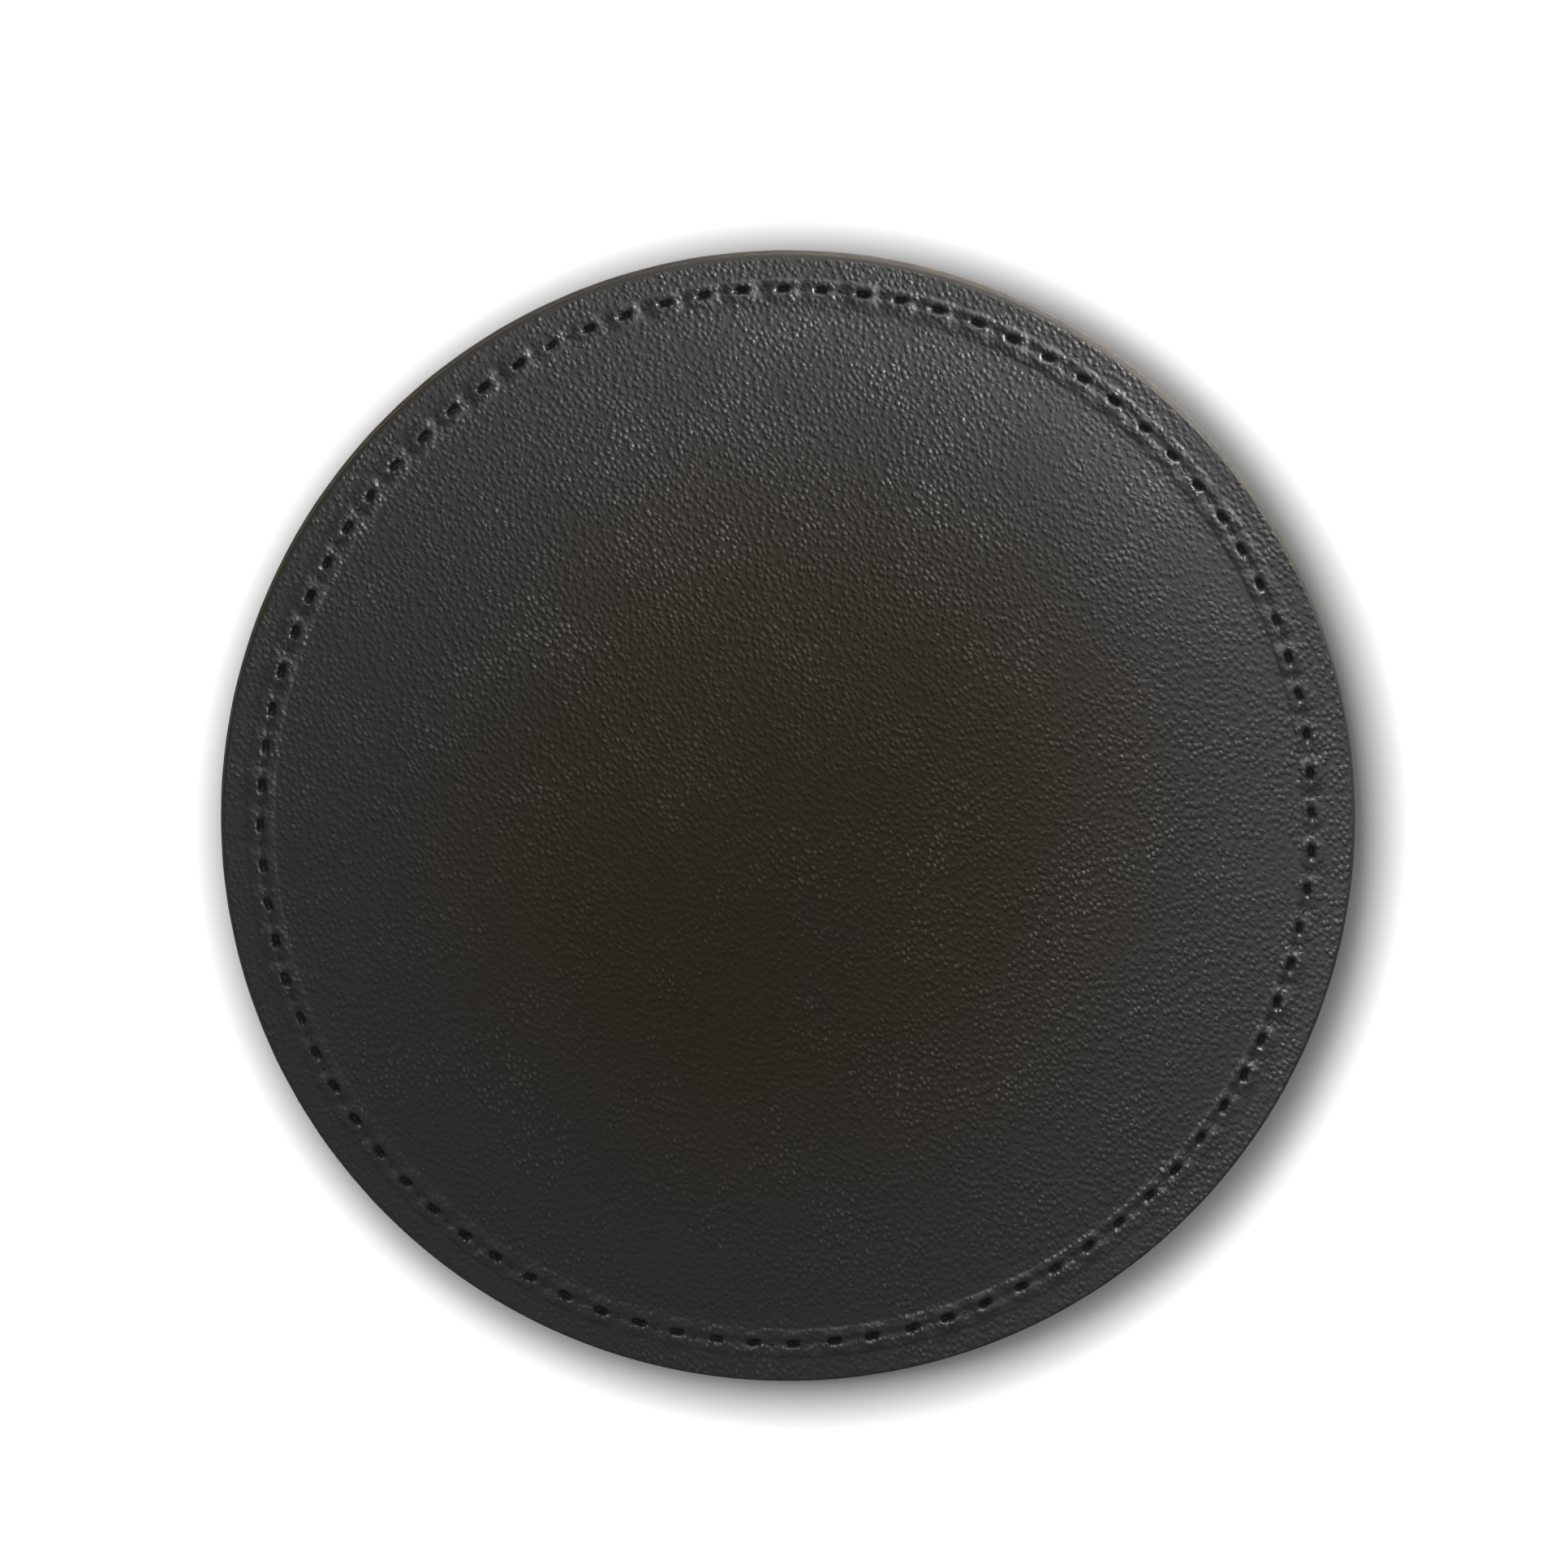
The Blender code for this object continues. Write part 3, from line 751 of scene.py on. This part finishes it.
LID_STITCHES = 84
LID_COLUMNS = whole_turn(LID_STITCHES * 20)
LID_HOLE_ANGLE = math.radians(0.7)
LID_SEAM_START = math.radians(129)  # where the sewing starts and ends, two stitches over
CROWN_EDGE = 41.4 * MM  # the padded middle ends here, just inside the stitches
CROWN_POWER = 5
DRESSED_SIDE = math.radians(110)


def seam_wander(angle):
    """The sewn line was marked by hand, so it wanders a little from a true circle."""
    once = -0.12 * np.cos(angle) + 0.14 * np.sin(angle)
    twice = -0.16 * np.cos(2 * angle) + 0.09 * np.sin(2 * angle)
    return (once + twice) * MM


def crown(radius):
    """Height of the lid's face above its sewn margin."""
    share = min(radius / CROWN_EDGE, 1.0)
    return (LID_FACE - LID_MARGIN) * (1 - share**CROWN_POWER)


def crowned(start, end, step, level):
    """Points of the crown from one radius to another, above this level."""
    return [(r, level + crown(r)) for r, _ in spread((start, 0), (end, 0), step)]


def stitch_lid(name, height, facing, node):
    """One side of the lid's sewing."""
    ring = (LID_SEAM_RADIUS, height, facing, LID_STITCHES, "lid", node)
    stitch_ring(name, *ring, LID_HOLE_ANGLE, seam_wander)


def make_lid_top():
    inside, outside = LID_SEAM_RADIUS - SEAM_REACH, LID_SEAM_RADIUS + SEAM_REACH
    rows = rows_of(crowned(0.0, 37 * MM, 2.2 * MM, LID_MARGIN), 20)
    rows += rows_of(crowned(37.6 * MM, inside - SEAM_STEP, 0.5 * MM, LID_MARGIN), 4)
    sewn = seam_rows((inside, LID_MARGIN), (outside, LID_MARGIN), (LID_SEAM_RADIUS, LID_MARGIN))
    for row in sewn:
        row.z += crown(row.radius)
    edge = [
        *spread((outside + SEAM_STEP, LID_MARGIN), (LID_EDGE_RADIUS - 0.5 * MM, LID_MARGIN), 0.2 * MM),
        (LID_EDGE_RADIUS, LID_MARGIN),
        (LID_EDGE_RADIUS, LID_MARGIN_UNDER),
        (LID_EDGE_RADIUS - 2 * MM, LID_MARGIN_UNDER),
    ]
    rows += sewn + rows_of(rounded(edge, 0.4 * MM, 6), 4)
    rows += rows_of(crowned(42 * MM, 0.0, 2.5 * MM, LID_MARGIN_UNDER), 20)
    relief = sewn_ring(LID_SEAM_RADIUS, LID_STITCHES, LID_HOLE_ANGLE, seam_wander)
    lid = turned_skin("lid_top", rows, LID_COLUMNS, False, relief, flat_grain=True)

    def dressed(radius, angle, z):
        """The dressed edge is broadest at one side of the back."""
        width = (0.12 + 0.30 * np.maximum(0.0, np.cos(angle - DRESSED_SIDE)) ** 2) * MM
        return (radius - LID_EDGE_RADIUS + width) / (0.1 * MM) + 0.5

    def pressed(radius, angle, z):
        """The needle and thread leave a shine on the lips of the holes."""
        across = radius - LID_SEAM_RADIUS - seam_wander(angle)
        along = (angle - LID_HOLE_ANGLE) * LID_SEAM_RADIUS
        pitch = math.tau * LID_SEAM_RADIUS / LID_STITCHES
        past_lip = hole_distance(across, along, pitch, 1) - 0.6 * LIP_REACH
        return (z > LID_MARGIN_UNDER + HIDE_THICK / 2) * np.exp(-((past_lip / LIP_REACH) ** 2))

    burnish(lid, dressed)
    mark(lid, "pressed", pressed)
    finish_piece(lid, LID_HIDE, "lid", "black_leather", "lid_top_leather")
    height = LID_MARGIN - THREAD_SINK
    stitch_lid("lid_top_stitches", height, (0, 1), "lid_seam_top_thread")
    pitch = math.tau / LID_STITCHES
    angles = LID_SEAM_START + pitch * np.linspace(0, 2, 13)
    radii = LID_SEAM_RADIUS + seam_wander(angles) - 0.16 * MM
    points = np.stack([radii * np.cos(angles), radii * np.sin(angles), 0 * angles + height], axis=1)
    facings = [(0, 0, 1)] * len(angles)
    stitch_line("lid_back_stitches", points, facings, False, 3, "lid", height=0.16 * MM)


def make_lid_board():
    """Bonded board between the two leathers. Its cut edge shows, in pressed layers."""
    radius, low, high = radius_of("lid_stiffener"), bottom_of("lid_stiffener"), top_of("lid_stiffener")
    layers = spread((radius, high - 0.25 * MM), (radius, low + 0.25 * MM), 0.1 * MM)
    top = rounded([(30 * MM, high), (radius, high), layers[0]], 0.2 * MM, 4)
    bottom = rounded([layers[-1], (radius, low), (30 * MM, low)], 0.2 * MM, 4)
    rows = [Row(0.0, high, 20), *rows_of(top + layers[1:-1] + bottom), Row(0.0, low, 20)]

    def pressed(angle, row):
        ply = np.sin((row.z - low) / (high - low) * math.tau * 3.5 + 0.3 * np.sin(5 * angle))
        nicks = np.sin(61 * angle + row.z * 9000) * np.sin(23 * angle)
        return (row.radius > radius - 0.1 * MM) * (0.02 * ply - 0.03 + 0.01 * nicks) * MM

    board = turned_skin("lid_board", rows, whole_turn(840), False, pressed)
    finish_piece(board, BROWN_BOARD, "lid", "leather_board", "lid_stiffener")


def make_lid_pad():
    """Thin foam under the top leather, which lifts it inside the seam."""
    low = bottom_of("lid_foam")
    reach = CROWN_EDGE * (1 - (CLEAR + 0.05 * MM) / (LID_FACE - LID_MARGIN)) ** (1 / CROWN_POWER)
    top = crowned(0.0, reach, 1.2 * MM, low - CLEAR)
    rows = rows_of(top + [(reach - 0.1 * MM, low), (0.0, low)])
    pad = turned_skin("lid_pad", rows, whole_turn(160), False)
    finish_piece(pad, GREY_FOAM, "lid", "foam", "lid_foam")


def make_lid_under():
    radius, high = radius_of("lid_under_leather"), top_of("lid_under_leather")
    inside, outside = LID_SEAM_RADIUS - SEAM_REACH, LID_SEAM_RADIUS + SEAM_REACH
    edge = [(30 * MM, high), (radius, high), (radius, LID_BOTTOM), (outside + SEAM_STEP, LID_BOTTOM)]
    rows = [Row(0.0, high, 20), *rows_of(rounded(edge, 0.4 * MM), 4)]
    rows += seam_rows((outside, LID_BOTTOM), (inside, LID_BOTTOM), (LID_SEAM_RADIUS, LID_BOTTOM))
    rows += rows_of(spread((inside - 2 * SEAM_STEP, LID_BOTTOM), (0.0, LID_BOTTOM), 4 * MM), 20)

    def wander_inward(angle):
        return -seam_wander(angle)

    relief = sewn_ring(LID_SEAM_RADIUS, LID_STITCHES, LID_HOLE_ANGLE, wander_inward)
    under = turned_skin("lid_under", rows, LID_COLUMNS, False, relief, flat_grain=True)
    burnish(under, lambda r, angle, z: near(r, radius))
    finish_piece(under, LID_HIDE, "lid", "black_leather", "lid_under_leather")
    stitch_lid("lid_under_stitches", LID_BOTTOM + THREAD_SINK, (0, -1), "lid_seam_under_thread")


def make_plug_cover():
    """A strip folded over the plug's ring, with its ends lapped at the back."""
    board_face = radius_of("plug_ring")
    clearance = radius_of("plug_leather") - board_face - STRIP_THICK

    def outer(z):
        return board_face + clearance + STRIP_THICK + TAPER * (z - PLUG_TOP)

    def inner(z):
        wall = 2 * (STRIP_THICK + clearance) + PLUG_WALL
        return outer(z) - wall

    fold = PLUG_LOW + STRIP_THICK
    outline = [
        (inner(PLUG_TOP) + STRIP_THICK, PLUG_TOP),
        (inner(PLUG_TOP), PLUG_TOP),
        (inner(PLUG_LOW), PLUG_LOW),
        (outer(PLUG_LOW), PLUG_LOW),
        (outer(PLUG_TOP), PLUG_TOP),
        (outer(PLUG_TOP) - STRIP_THICK, PLUG_TOP),
        (outer(fold) - STRIP_THICK, fold),
        (inner(fold) + STRIP_THICK, fold),
    ]
    rows = rows_of(rounded(list(reversed(outline)), 1.0 * MM, 7))

    def lapped(angle, row):
        return lap(angle, row.radius, 0.1 * MM) if row.z < PLUG_TOP - 0.2 * MM else 0 * angle

    cover = turned_skin("plug_cover", rows, whole_turn(720), True, lapped)
    finish_piece(cover, CUP_HIDE, "lid", "black_leather", "plug_leather")


def make_felt_disc(name, node, body):
    """A disc of felt with a slightly furry, rounded edge."""
    radius, low, high = radius_of(node), bottom_of(node), top_of(node)
    middle = spread((0.0, high), (radius - 1.2 * MM, high), 1.5 * MM)
    edge = rounded([middle[-1], (radius, high), (radius, low), (radius - 3 * MM, low)], 0.45 * MM)
    rows = rows_of(middle + edge[1:] + [(0.0, low)])

    def uneven(angle, row):
        return soft_waves(angle, row, 0.05 * MM) if row.z > low + 0.5 * MM else 0 * angle

    disc = turned_skin(name, rows, whole_turn(180), False, uneven)
    finish_piece(disc, WINE_FELT, body, "felt", node)


# ---------------------------------------------------------------- the cup


BUTT_GAP = 0.4 * MM
SIDE_SEAM_X = radius_of("side_seam_thread_left") - THREAD_HALF  # each row from the joint
SIDE_SEAM_LOW = bottom_of("side_seam_thread_left")
SIDE_SEAM_HIGH = top_of("side_seam_thread_left")
SIDE_STITCHES = stitches_for(SIDE_SEAM_HIGH - SIDE_SEAM_LOW)
SIDE_PITCH = (SIDE_SEAM_HIGH - SIDE_SEAM_LOW) / SIDE_STITCHES
FLANGE_INSIDE = radius_of("base_filler") + CLEAR
CUT_EDGE = 0.25 * MM  # rounding of a cut leather edge


def wall_columns():
    """Fine columns beside the joint at the back and broad ones round the rest."""
    joint, beside = BUTT_GAP / 2 / FACE_AT_TOP, 4.6 * MM / FACE_AT_TOP
    fine = np.linspace(joint, beside, 28)
    broad = np.linspace(beside, math.tau - beside, 110)
    return BACK + np.concatenate([fine, broad[1:-1], math.tau - fine[::-1]])


def side_seam_relief(angle, row):
    """Two rows of stitches beside the joint, whose cut edges are pared down."""
    if row.across is None:
        return np.zeros(len(angle))
    x = np.abs(row.radius * np.cos(angle))
    at_back = np.sin(angle) > 0
    beyond = max(SIDE_SEAM_LOW - row.z, row.z - SIDE_SEAM_HIGH, 0.0)
    fade = np.exp(-((beyond / (0.5 * MM)) ** 2))
    along = row.z - SIDE_SEAM_LOW
    sewn = fade * sewn_relief(x - SIDE_SEAM_X, along, SIDE_PITCH, seed=5)
    sewn *= np.clip((SEAM_REACH - np.abs(x - SIDE_SEAM_X)) / (2 * SEAM_STEP), 0, 1)
    pared = 0.16 * MM * np.exp(-((x / (0.42 * MM)) ** 2))
    return at_back * (sewn - pared)


def make_wall():
    """One sheet round the cup, its ends butted at the back and its foot turned in."""
    low = FLANGE_BOTTOM
    step = 0.22 * MM
    face = spread((wall_face(SHELL_TOP), SHELL_TOP), (wall_face(low + 1.2 * MM), low + 1.2 * MM), step)
    rows = rows_of([(wall_face(SHELL_TOP) - HIDE_THICK, SHELL_TOP)])
    rows += [Row(radius, z, 1, 0.0) for radius, z in face]
    flange_top = low + HIDE_THICK
    turned = [
        face[-1],
        (wall_face(low), low),
        (FLANGE_INSIDE, low),
        (FLANGE_INSIDE, flange_top),
        (wall_face(flange_top) - HIDE_THICK, flange_top),
    ]
    rows += rows_of(rounded(turned, 1.0 * MM, 6)[1:])
    wall = turned_skin("wall", rows, wall_columns(), True, side_seam_relief)
    joint = BUTT_GAP / 2
    burnish(wall, lambda r, angle, z: (np.sin(angle) > 0) * near(np.abs(r * np.cos(angle)), joint))
    finish_piece(wall, CUP_HIDE, "cup", "black_leather", "wall_leather")
    for side, sign in (("left", 1), ("right", -1)):
        half = SIDE_PITCH / 2
        heights = np.linspace(SIDE_SEAM_LOW + half, SIDE_SEAM_HIGH - half, SIDE_STITCHES)
        depth = [math.sqrt(wall_face(z) ** 2 - SIDE_SEAM_X**2) - THREAD_SINK for z in heights]
        points = [(sign * SIDE_SEAM_X, y, z) for y, z in zip(depth, heights)]
        across = sign * SIDE_SEAM_X / FACE_AT_TOP
        facings = [(across, *FACING_OUT)] * len(points)
        sewing = (f"side_stitches_{side}", points, facings, False, SIDE_STITCHES)
        stitch_line(*sewing, "cup", f"side_seam_thread_{side}")


def make_seam_tape():
    """Woven tape behind the joint, glued into the core."""
    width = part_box("side_seam_tape")[1].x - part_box("side_seam_tape")[0].x
    low, high = bottom_of("side_seam_tape"), top_of("side_seam_tape")
    rows = rows_of(
        [
            (core_face(high) - TAPE_THICK, high),
            *spread((core_face(high), high), (core_face(low), low), 3 * MM),
            (core_face(low) - TAPE_THICK, low),
        ]
    )
    angles = part_turn(BACK, width / core_face(SHELL_TOP), 24)
    tape = turned_skin("seam_tape_strip", rows, angles, True)
    finish_piece(tape, TAPE, "cup", "tape", "side_seam_tape")


def make_wall_lining():
    low, high = bottom_of("wall_felt"), top_of("wall_felt")
    outline = [
        (lining_back(high), high),
        (lining_back(low), low),
        (lining_face(low), low),
        (lining_face(high), high),
    ]
    inner = spread(outline[2], outline[3], 1.5 * MM)
    rows = rows_of(rounded([outline[0], outline[1], outline[2], inner[1]], 0.3 * MM) + inner[2:])

    def uneven(angle, row):
        is_inner = row.radius < lining_back(row.z) - 0.9 * FELT_THICK
        return soft_waves(angle, row, 0.07 * MM) if is_inner else 0 * angle

    slit = 0.3 * MM / lining_face(high)
    angles = part_turn(BACK + math.pi, math.tau - slit, 240)
    lining = turned_skin("wall_lining", rows, angles, True, uneven)
    finish_piece(lining, WINE_FELT, "cup", "felt", "wall_felt")


def make_floor_pad():
    radius, low, high = radius_of("floor_foam"), bottom_of("floor_foam"), top_of("floor_foam")
    edge = rounded([(20 * MM, high), (radius, high), (radius, low), (20 * MM, low)], 0.7 * MM, 6)
    rows = rows_of([(0.0, high)] + edge + [(0.0, low)])
    pad = turned_skin("floor_pad", rows, whole_turn(160), False)
    finish_piece(pad, GREY_FOAM, "cup", "foam", "floor_foam")


RIM_STITCHES = stitches_for(math.tau * strip_face(RIM_SEAM))


def make_rim_cover():
    """A leather strip folded over the rim, sewn through, with its ends lapped at the back."""
    high, low = RIM_SEAM + SEAM_REACH, RIM_SEAM - SEAM_REACH
    under_fold = SHELL_TOP + CLEAR

    def on(face, z):
        return (face(z), z)

    def back(z):
        return wall_face(z) + CLEAR

    def glued(z):
        return lining_face(z) - CLEAR

    inner_edge = [on(glued, low), on(glued, RIM_LOW), on(binding_face, RIM_LOW), on(binding_face, low)]
    fold = [
        on(binding_face, high + 2 * SEAM_STEP),
        on(binding_face, RIM_TOP),
        on(strip_face, RIM_TOP),
        on(strip_face, high + 2 * SEAM_STEP),
    ]
    outer_edge = [on(strip_face, low), on(strip_face, RIM_LOW), on(back, RIM_LOW), on(back, low)]
    rows = rows_of(rounded(inner_edge, CUT_EDGE), 4)
    rows += seam_rows(inner_edge[-1], on(binding_face, high), on(binding_face, RIM_SEAM))
    rows += rows_of(rounded(fold, 1.0 * MM, 8), 4)
    rows += seam_rows(on(strip_face, high), outer_edge[0], on(strip_face, RIM_SEAM))
    rows += rows_of(rounded(outer_edge, CUT_EDGE), 4)
    rows += rows_of([on(back, high), on(back, under_fold), on(glued, under_fold), on(glued, high)], 12)

    def lapped(angle, row):
        hidden = glued(row.z) - 0.1 * MM < row.radius < back(row.z) + 0.1 * MM
        if hidden and row.z < under_fold + 0.1 * MM:
            return np.zeros(len(angle))
        is_outside = row.radius > wall_face(row.z)
        return lap(angle, row.radius, 0.2 * MM if is_outside else 0.08 * MM)

    relief = sewn_ring(strip_face(RIM_SEAM), RIM_STITCHES, extra=lapped)
    cover = turned_skin("rim_cover", rows, whole_turn(RIM_STITCHES * COLUMNS_PER_STITCH), True, relief)
    burnish(cover, lambda r, angle, z: near(z, RIM_LOW))
    finish_piece(cover, CUP_HIDE, "cup", "black_leather", "rim_binding")
    for side, face, sign in (("outer", strip_face, 1), ("inner", binding_face, -1)):
        radius = face(RIM_SEAM) - sign * THREAD_SINK
        facing = [sign * part for part in FACING_OUT]
        ring = (radius, RIM_SEAM, facing, RIM_STITCHES, "cup", f"rim_seam_{side}_thread")
        stitch_ring(f"rim_stitches_{side}", *ring)


FOOT_STITCHES = stitches_for(math.tau * strip_face(FOOT_SEAM))


def make_foot_cover():
    """A leather strip banded round the foot, its ends lapped at the back."""
    high, low = FOOT_SEAM + SEAM_REACH, FOOT_SEAM - SEAM_REACH

    def outside(z):
        return (strip_face(z), z)

    def back(z):
        return (wall_face(z) + CLEAR, z)

    upper = [back(high), back(FOOT_TOP), outside(FOOT_TOP), outside(high + SEAM_STEP)]
    lower = [outside(low - SEAM_STEP), outside(FOOT_LOW), back(FOOT_LOW), back(low)]
    rows = rows_of(rounded(upper, CUT_EDGE), 4)
    rows += seam_rows(outside(high), outside(low), outside(FOOT_SEAM))
    rows += rows_of(rounded(lower, CUT_EDGE), 4)

    def lapped(angle, row):
        return lap(angle, row.radius) if row.radius > strip_face(row.z) - 0.3 * MM else 0 * angle

    relief = sewn_ring(strip_face(FOOT_SEAM), FOOT_STITCHES, extra=lapped)
    cover = turned_skin("foot_cover", rows, whole_turn(FOOT_STITCHES * COLUMNS_PER_STITCH), True, relief)
    burnish(cover, lambda r, angle, z: np.maximum(near(z, FOOT_TOP), near(z, FOOT_LOW)))
    finish_piece(cover, CUP_HIDE, "cup", "black_leather", "foot_band")
    radius = strip_face(FOOT_SEAM) - THREAD_SINK
    ring = (radius, FOOT_SEAM, FACING_OUT, FOOT_STITCHES, "cup", "foot_seam_thread")
    stitch_ring("foot_stitches", *ring)


BASE_STITCHES = stitches_for(math.tau * BASE_SEAM_RADIUS)
BASE_THREAD_HEIGHT = 0.36 * MM  # sunk deep, so that the cup doesn't stand on its thread


def make_base_sole():
    radius, high = radius_of("base_leather"), top_of("base_leather")
    inside, outside = BASE_SEAM_RADIUS - SEAM_REACH, BASE_SEAM_RADIUS + SEAM_REACH
    edge = [(25 * MM, high), (radius, high), (radius, 0.0), (outside + SEAM_STEP, 0.0)]
    rows = [Row(0.0, high, 12), *rows_of(rounded(edge, 0.35 * MM), 4)]
    rows += seam_rows((outside, 0.0), (inside, 0.0), (BASE_SEAM_RADIUS, 0.0))
    rows += rows_of(spread((inside - 2 * SEAM_STEP, 0.0), (0.0, 0.0), 4 * MM), 12)
    sewn = sewn_ring(BASE_SEAM_RADIUS, BASE_STITCHES, strength=1.4)

    def sunk(angle, row):
        return np.minimum(sewn(angle, row), 0.0)

    columns = whole_turn(BASE_STITCHES * COLUMNS_PER_STITCH)
    sole = turned_skin("base_sole", rows, columns, False, sunk, flat_grain=True)
    burnish(sole, lambda r, angle, z: near(r, radius))
    finish_piece(sole, CUP_HIDE, "cup", "black_leather", "base_leather")
    ring = (BASE_SEAM_RADIUS, BASE_THREAD_HEIGHT, (0, -1), BASE_STITCHES, "cup", "base_seam_thread")
    stitch_ring("base_stitches", *ring)


def finish_boards():
    """The stiff boards inside keep their own solids."""
    for node in ("core_tube", "core_floor", "base_filler", "plug_ring"):
        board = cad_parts[node]
        board.material_slots[0].material = GREY_BOARD


make_lid_top()
make_lid_board()
make_lid_pad()
make_lid_under()
make_plug_cover()
make_felt_disc("lid_lining", "lid_felt", "lid")
make_wall()
make_seam_tape()
make_wall_lining()
make_floor_pad()
make_felt_disc("floor_lining", "floor_felt", "cup")
make_rim_cover()
make_foot_cover()
make_base_sole()
finish_boards()


# ---------------------------------------------------------------- the stage


def make_floor():
    bpy.ops.mesh.primitive_grid_add(x_subdivisions=8, y_subdivisions=8, size=6.0)
    floor = bpy.context.object
    floor.name = "pale_floor"
    made = Finish("pale_floor")
    made.set(Base_Color=rgb(0.86, 0.86, 0.86), Roughness=0.9, Specular_IOR_Level=0.1)
    floor.data.materials.append(made.material)
    return floor


def add_softbox(name, place, aim, size, power, tall=None):
    """A studio light at a place over the lid's face, turned towards a point on the face."""
    light = bpy.data.lights.new(name, "AREA")
    light.shape = "RECTANGLE"
    light.size, light.size_y = size, tall or size
    light.energy = power
    obj = bpy.data.objects.new(name, light)
    over_face = Vector((0.0, 0.0, LID_FACE))
    obj.location = Vector(place) + over_face
    towards = Vector((*aim, 0.0)) - Vector(place)
    obj.rotation_euler = towards.to_track_quat("-Z", "Y").to_euler()
    obj.visible_camera = False
    bpy.context.scene.collection.objects.link(obj)
    return obj


def light_the_studio(floor):
    """Pale surroundings, a small lamp beside the camera, and low windows round the back."""
    world = bpy.data.worlds.new("studio_surround")
    world.use_nodes = True
    surround = world.node_tree.nodes["Background"]
    surround.inputs["Color"].default_value = rgb(1.0, 1.0, 1.0)
    surround.inputs["Strength"].default_value = SURROUND
    bpy.context.scene.world = world
    add_softbox(*TOP_LAMP).visible_glossy = False
    back, side, far = [add_softbox(*window) for window in (BACK_WINDOW, SIDE_WINDOW, FAR_WINDOW)]
    for window in (back, side):
        window.data.spread = WINDOW_SPREAD
    off_the_floor = bpy.data.collections.new("not_window_lit")
    off_the_floor.objects.link(floor)
    off_the_floor.collection_objects[0].light_linking.link_state = "EXCLUDE"
    for window in (back, side, far):
        window.light_linking.receiver_collection = off_the_floor


SURROUND = 0.22
# each light's name, place, point aimed at, width, power in watts, and height where it isn't square
TOP_LAMP = ("top_lamp", (-0.0115, 0.097, 0.94), (0.0, 0.0), 0.050, 13.6)
BACK_WINDOW = ("back_window", (0.118, 0.077, 0.024), (-0.040, 0.079), 0.07, 0.24, 0.05)
SIDE_WINDOW = ("side_window", (0.059, 0.079, 0.034), (0.069, -0.050), 0.07, 0.073, 0.05)
FAR_WINDOW = ("far_window", (-0.04, 0.45, 0.20), (0.0, 0.0), 0.16, 1.4)
WINDOW_SPREAD = math.radians(52)
CAMERA_DISTANCE = 1.5
CAMERA_TILT = math.radians(5.3)  # towards the back
VIEW_WIDTH = 126.9 * MM  # what the frame spans at the lid's face
LOOK_AT = Vector((-0.33 * MM, 2.96 * MM, LID_FACE))


def place_camera():
    camera = bpy.data.cameras.new("above")
    camera.sensor_width = 36.0
    camera.lens = 36.0 * CAMERA_DISTANCE / VIEW_WIDTH
    camera.clip_start, camera.clip_end = 0.05, 20.0
    obj = bpy.data.objects.new("above", camera)
    back = Vector((0.0, math.sin(CAMERA_TILT), math.cos(CAMERA_TILT)))
    obj.location = LOOK_AT + back * CAMERA_DISTANCE
    obj.rotation_euler = (-CAMERA_TILT, 0.0, 0.0)
    bpy.context.scene.collection.objects.link(obj)
    bpy.context.scene.camera = obj


light_the_studio(make_floor())
place_camera()
bpy.context.scene.view_settings.view_transform = "Standard"
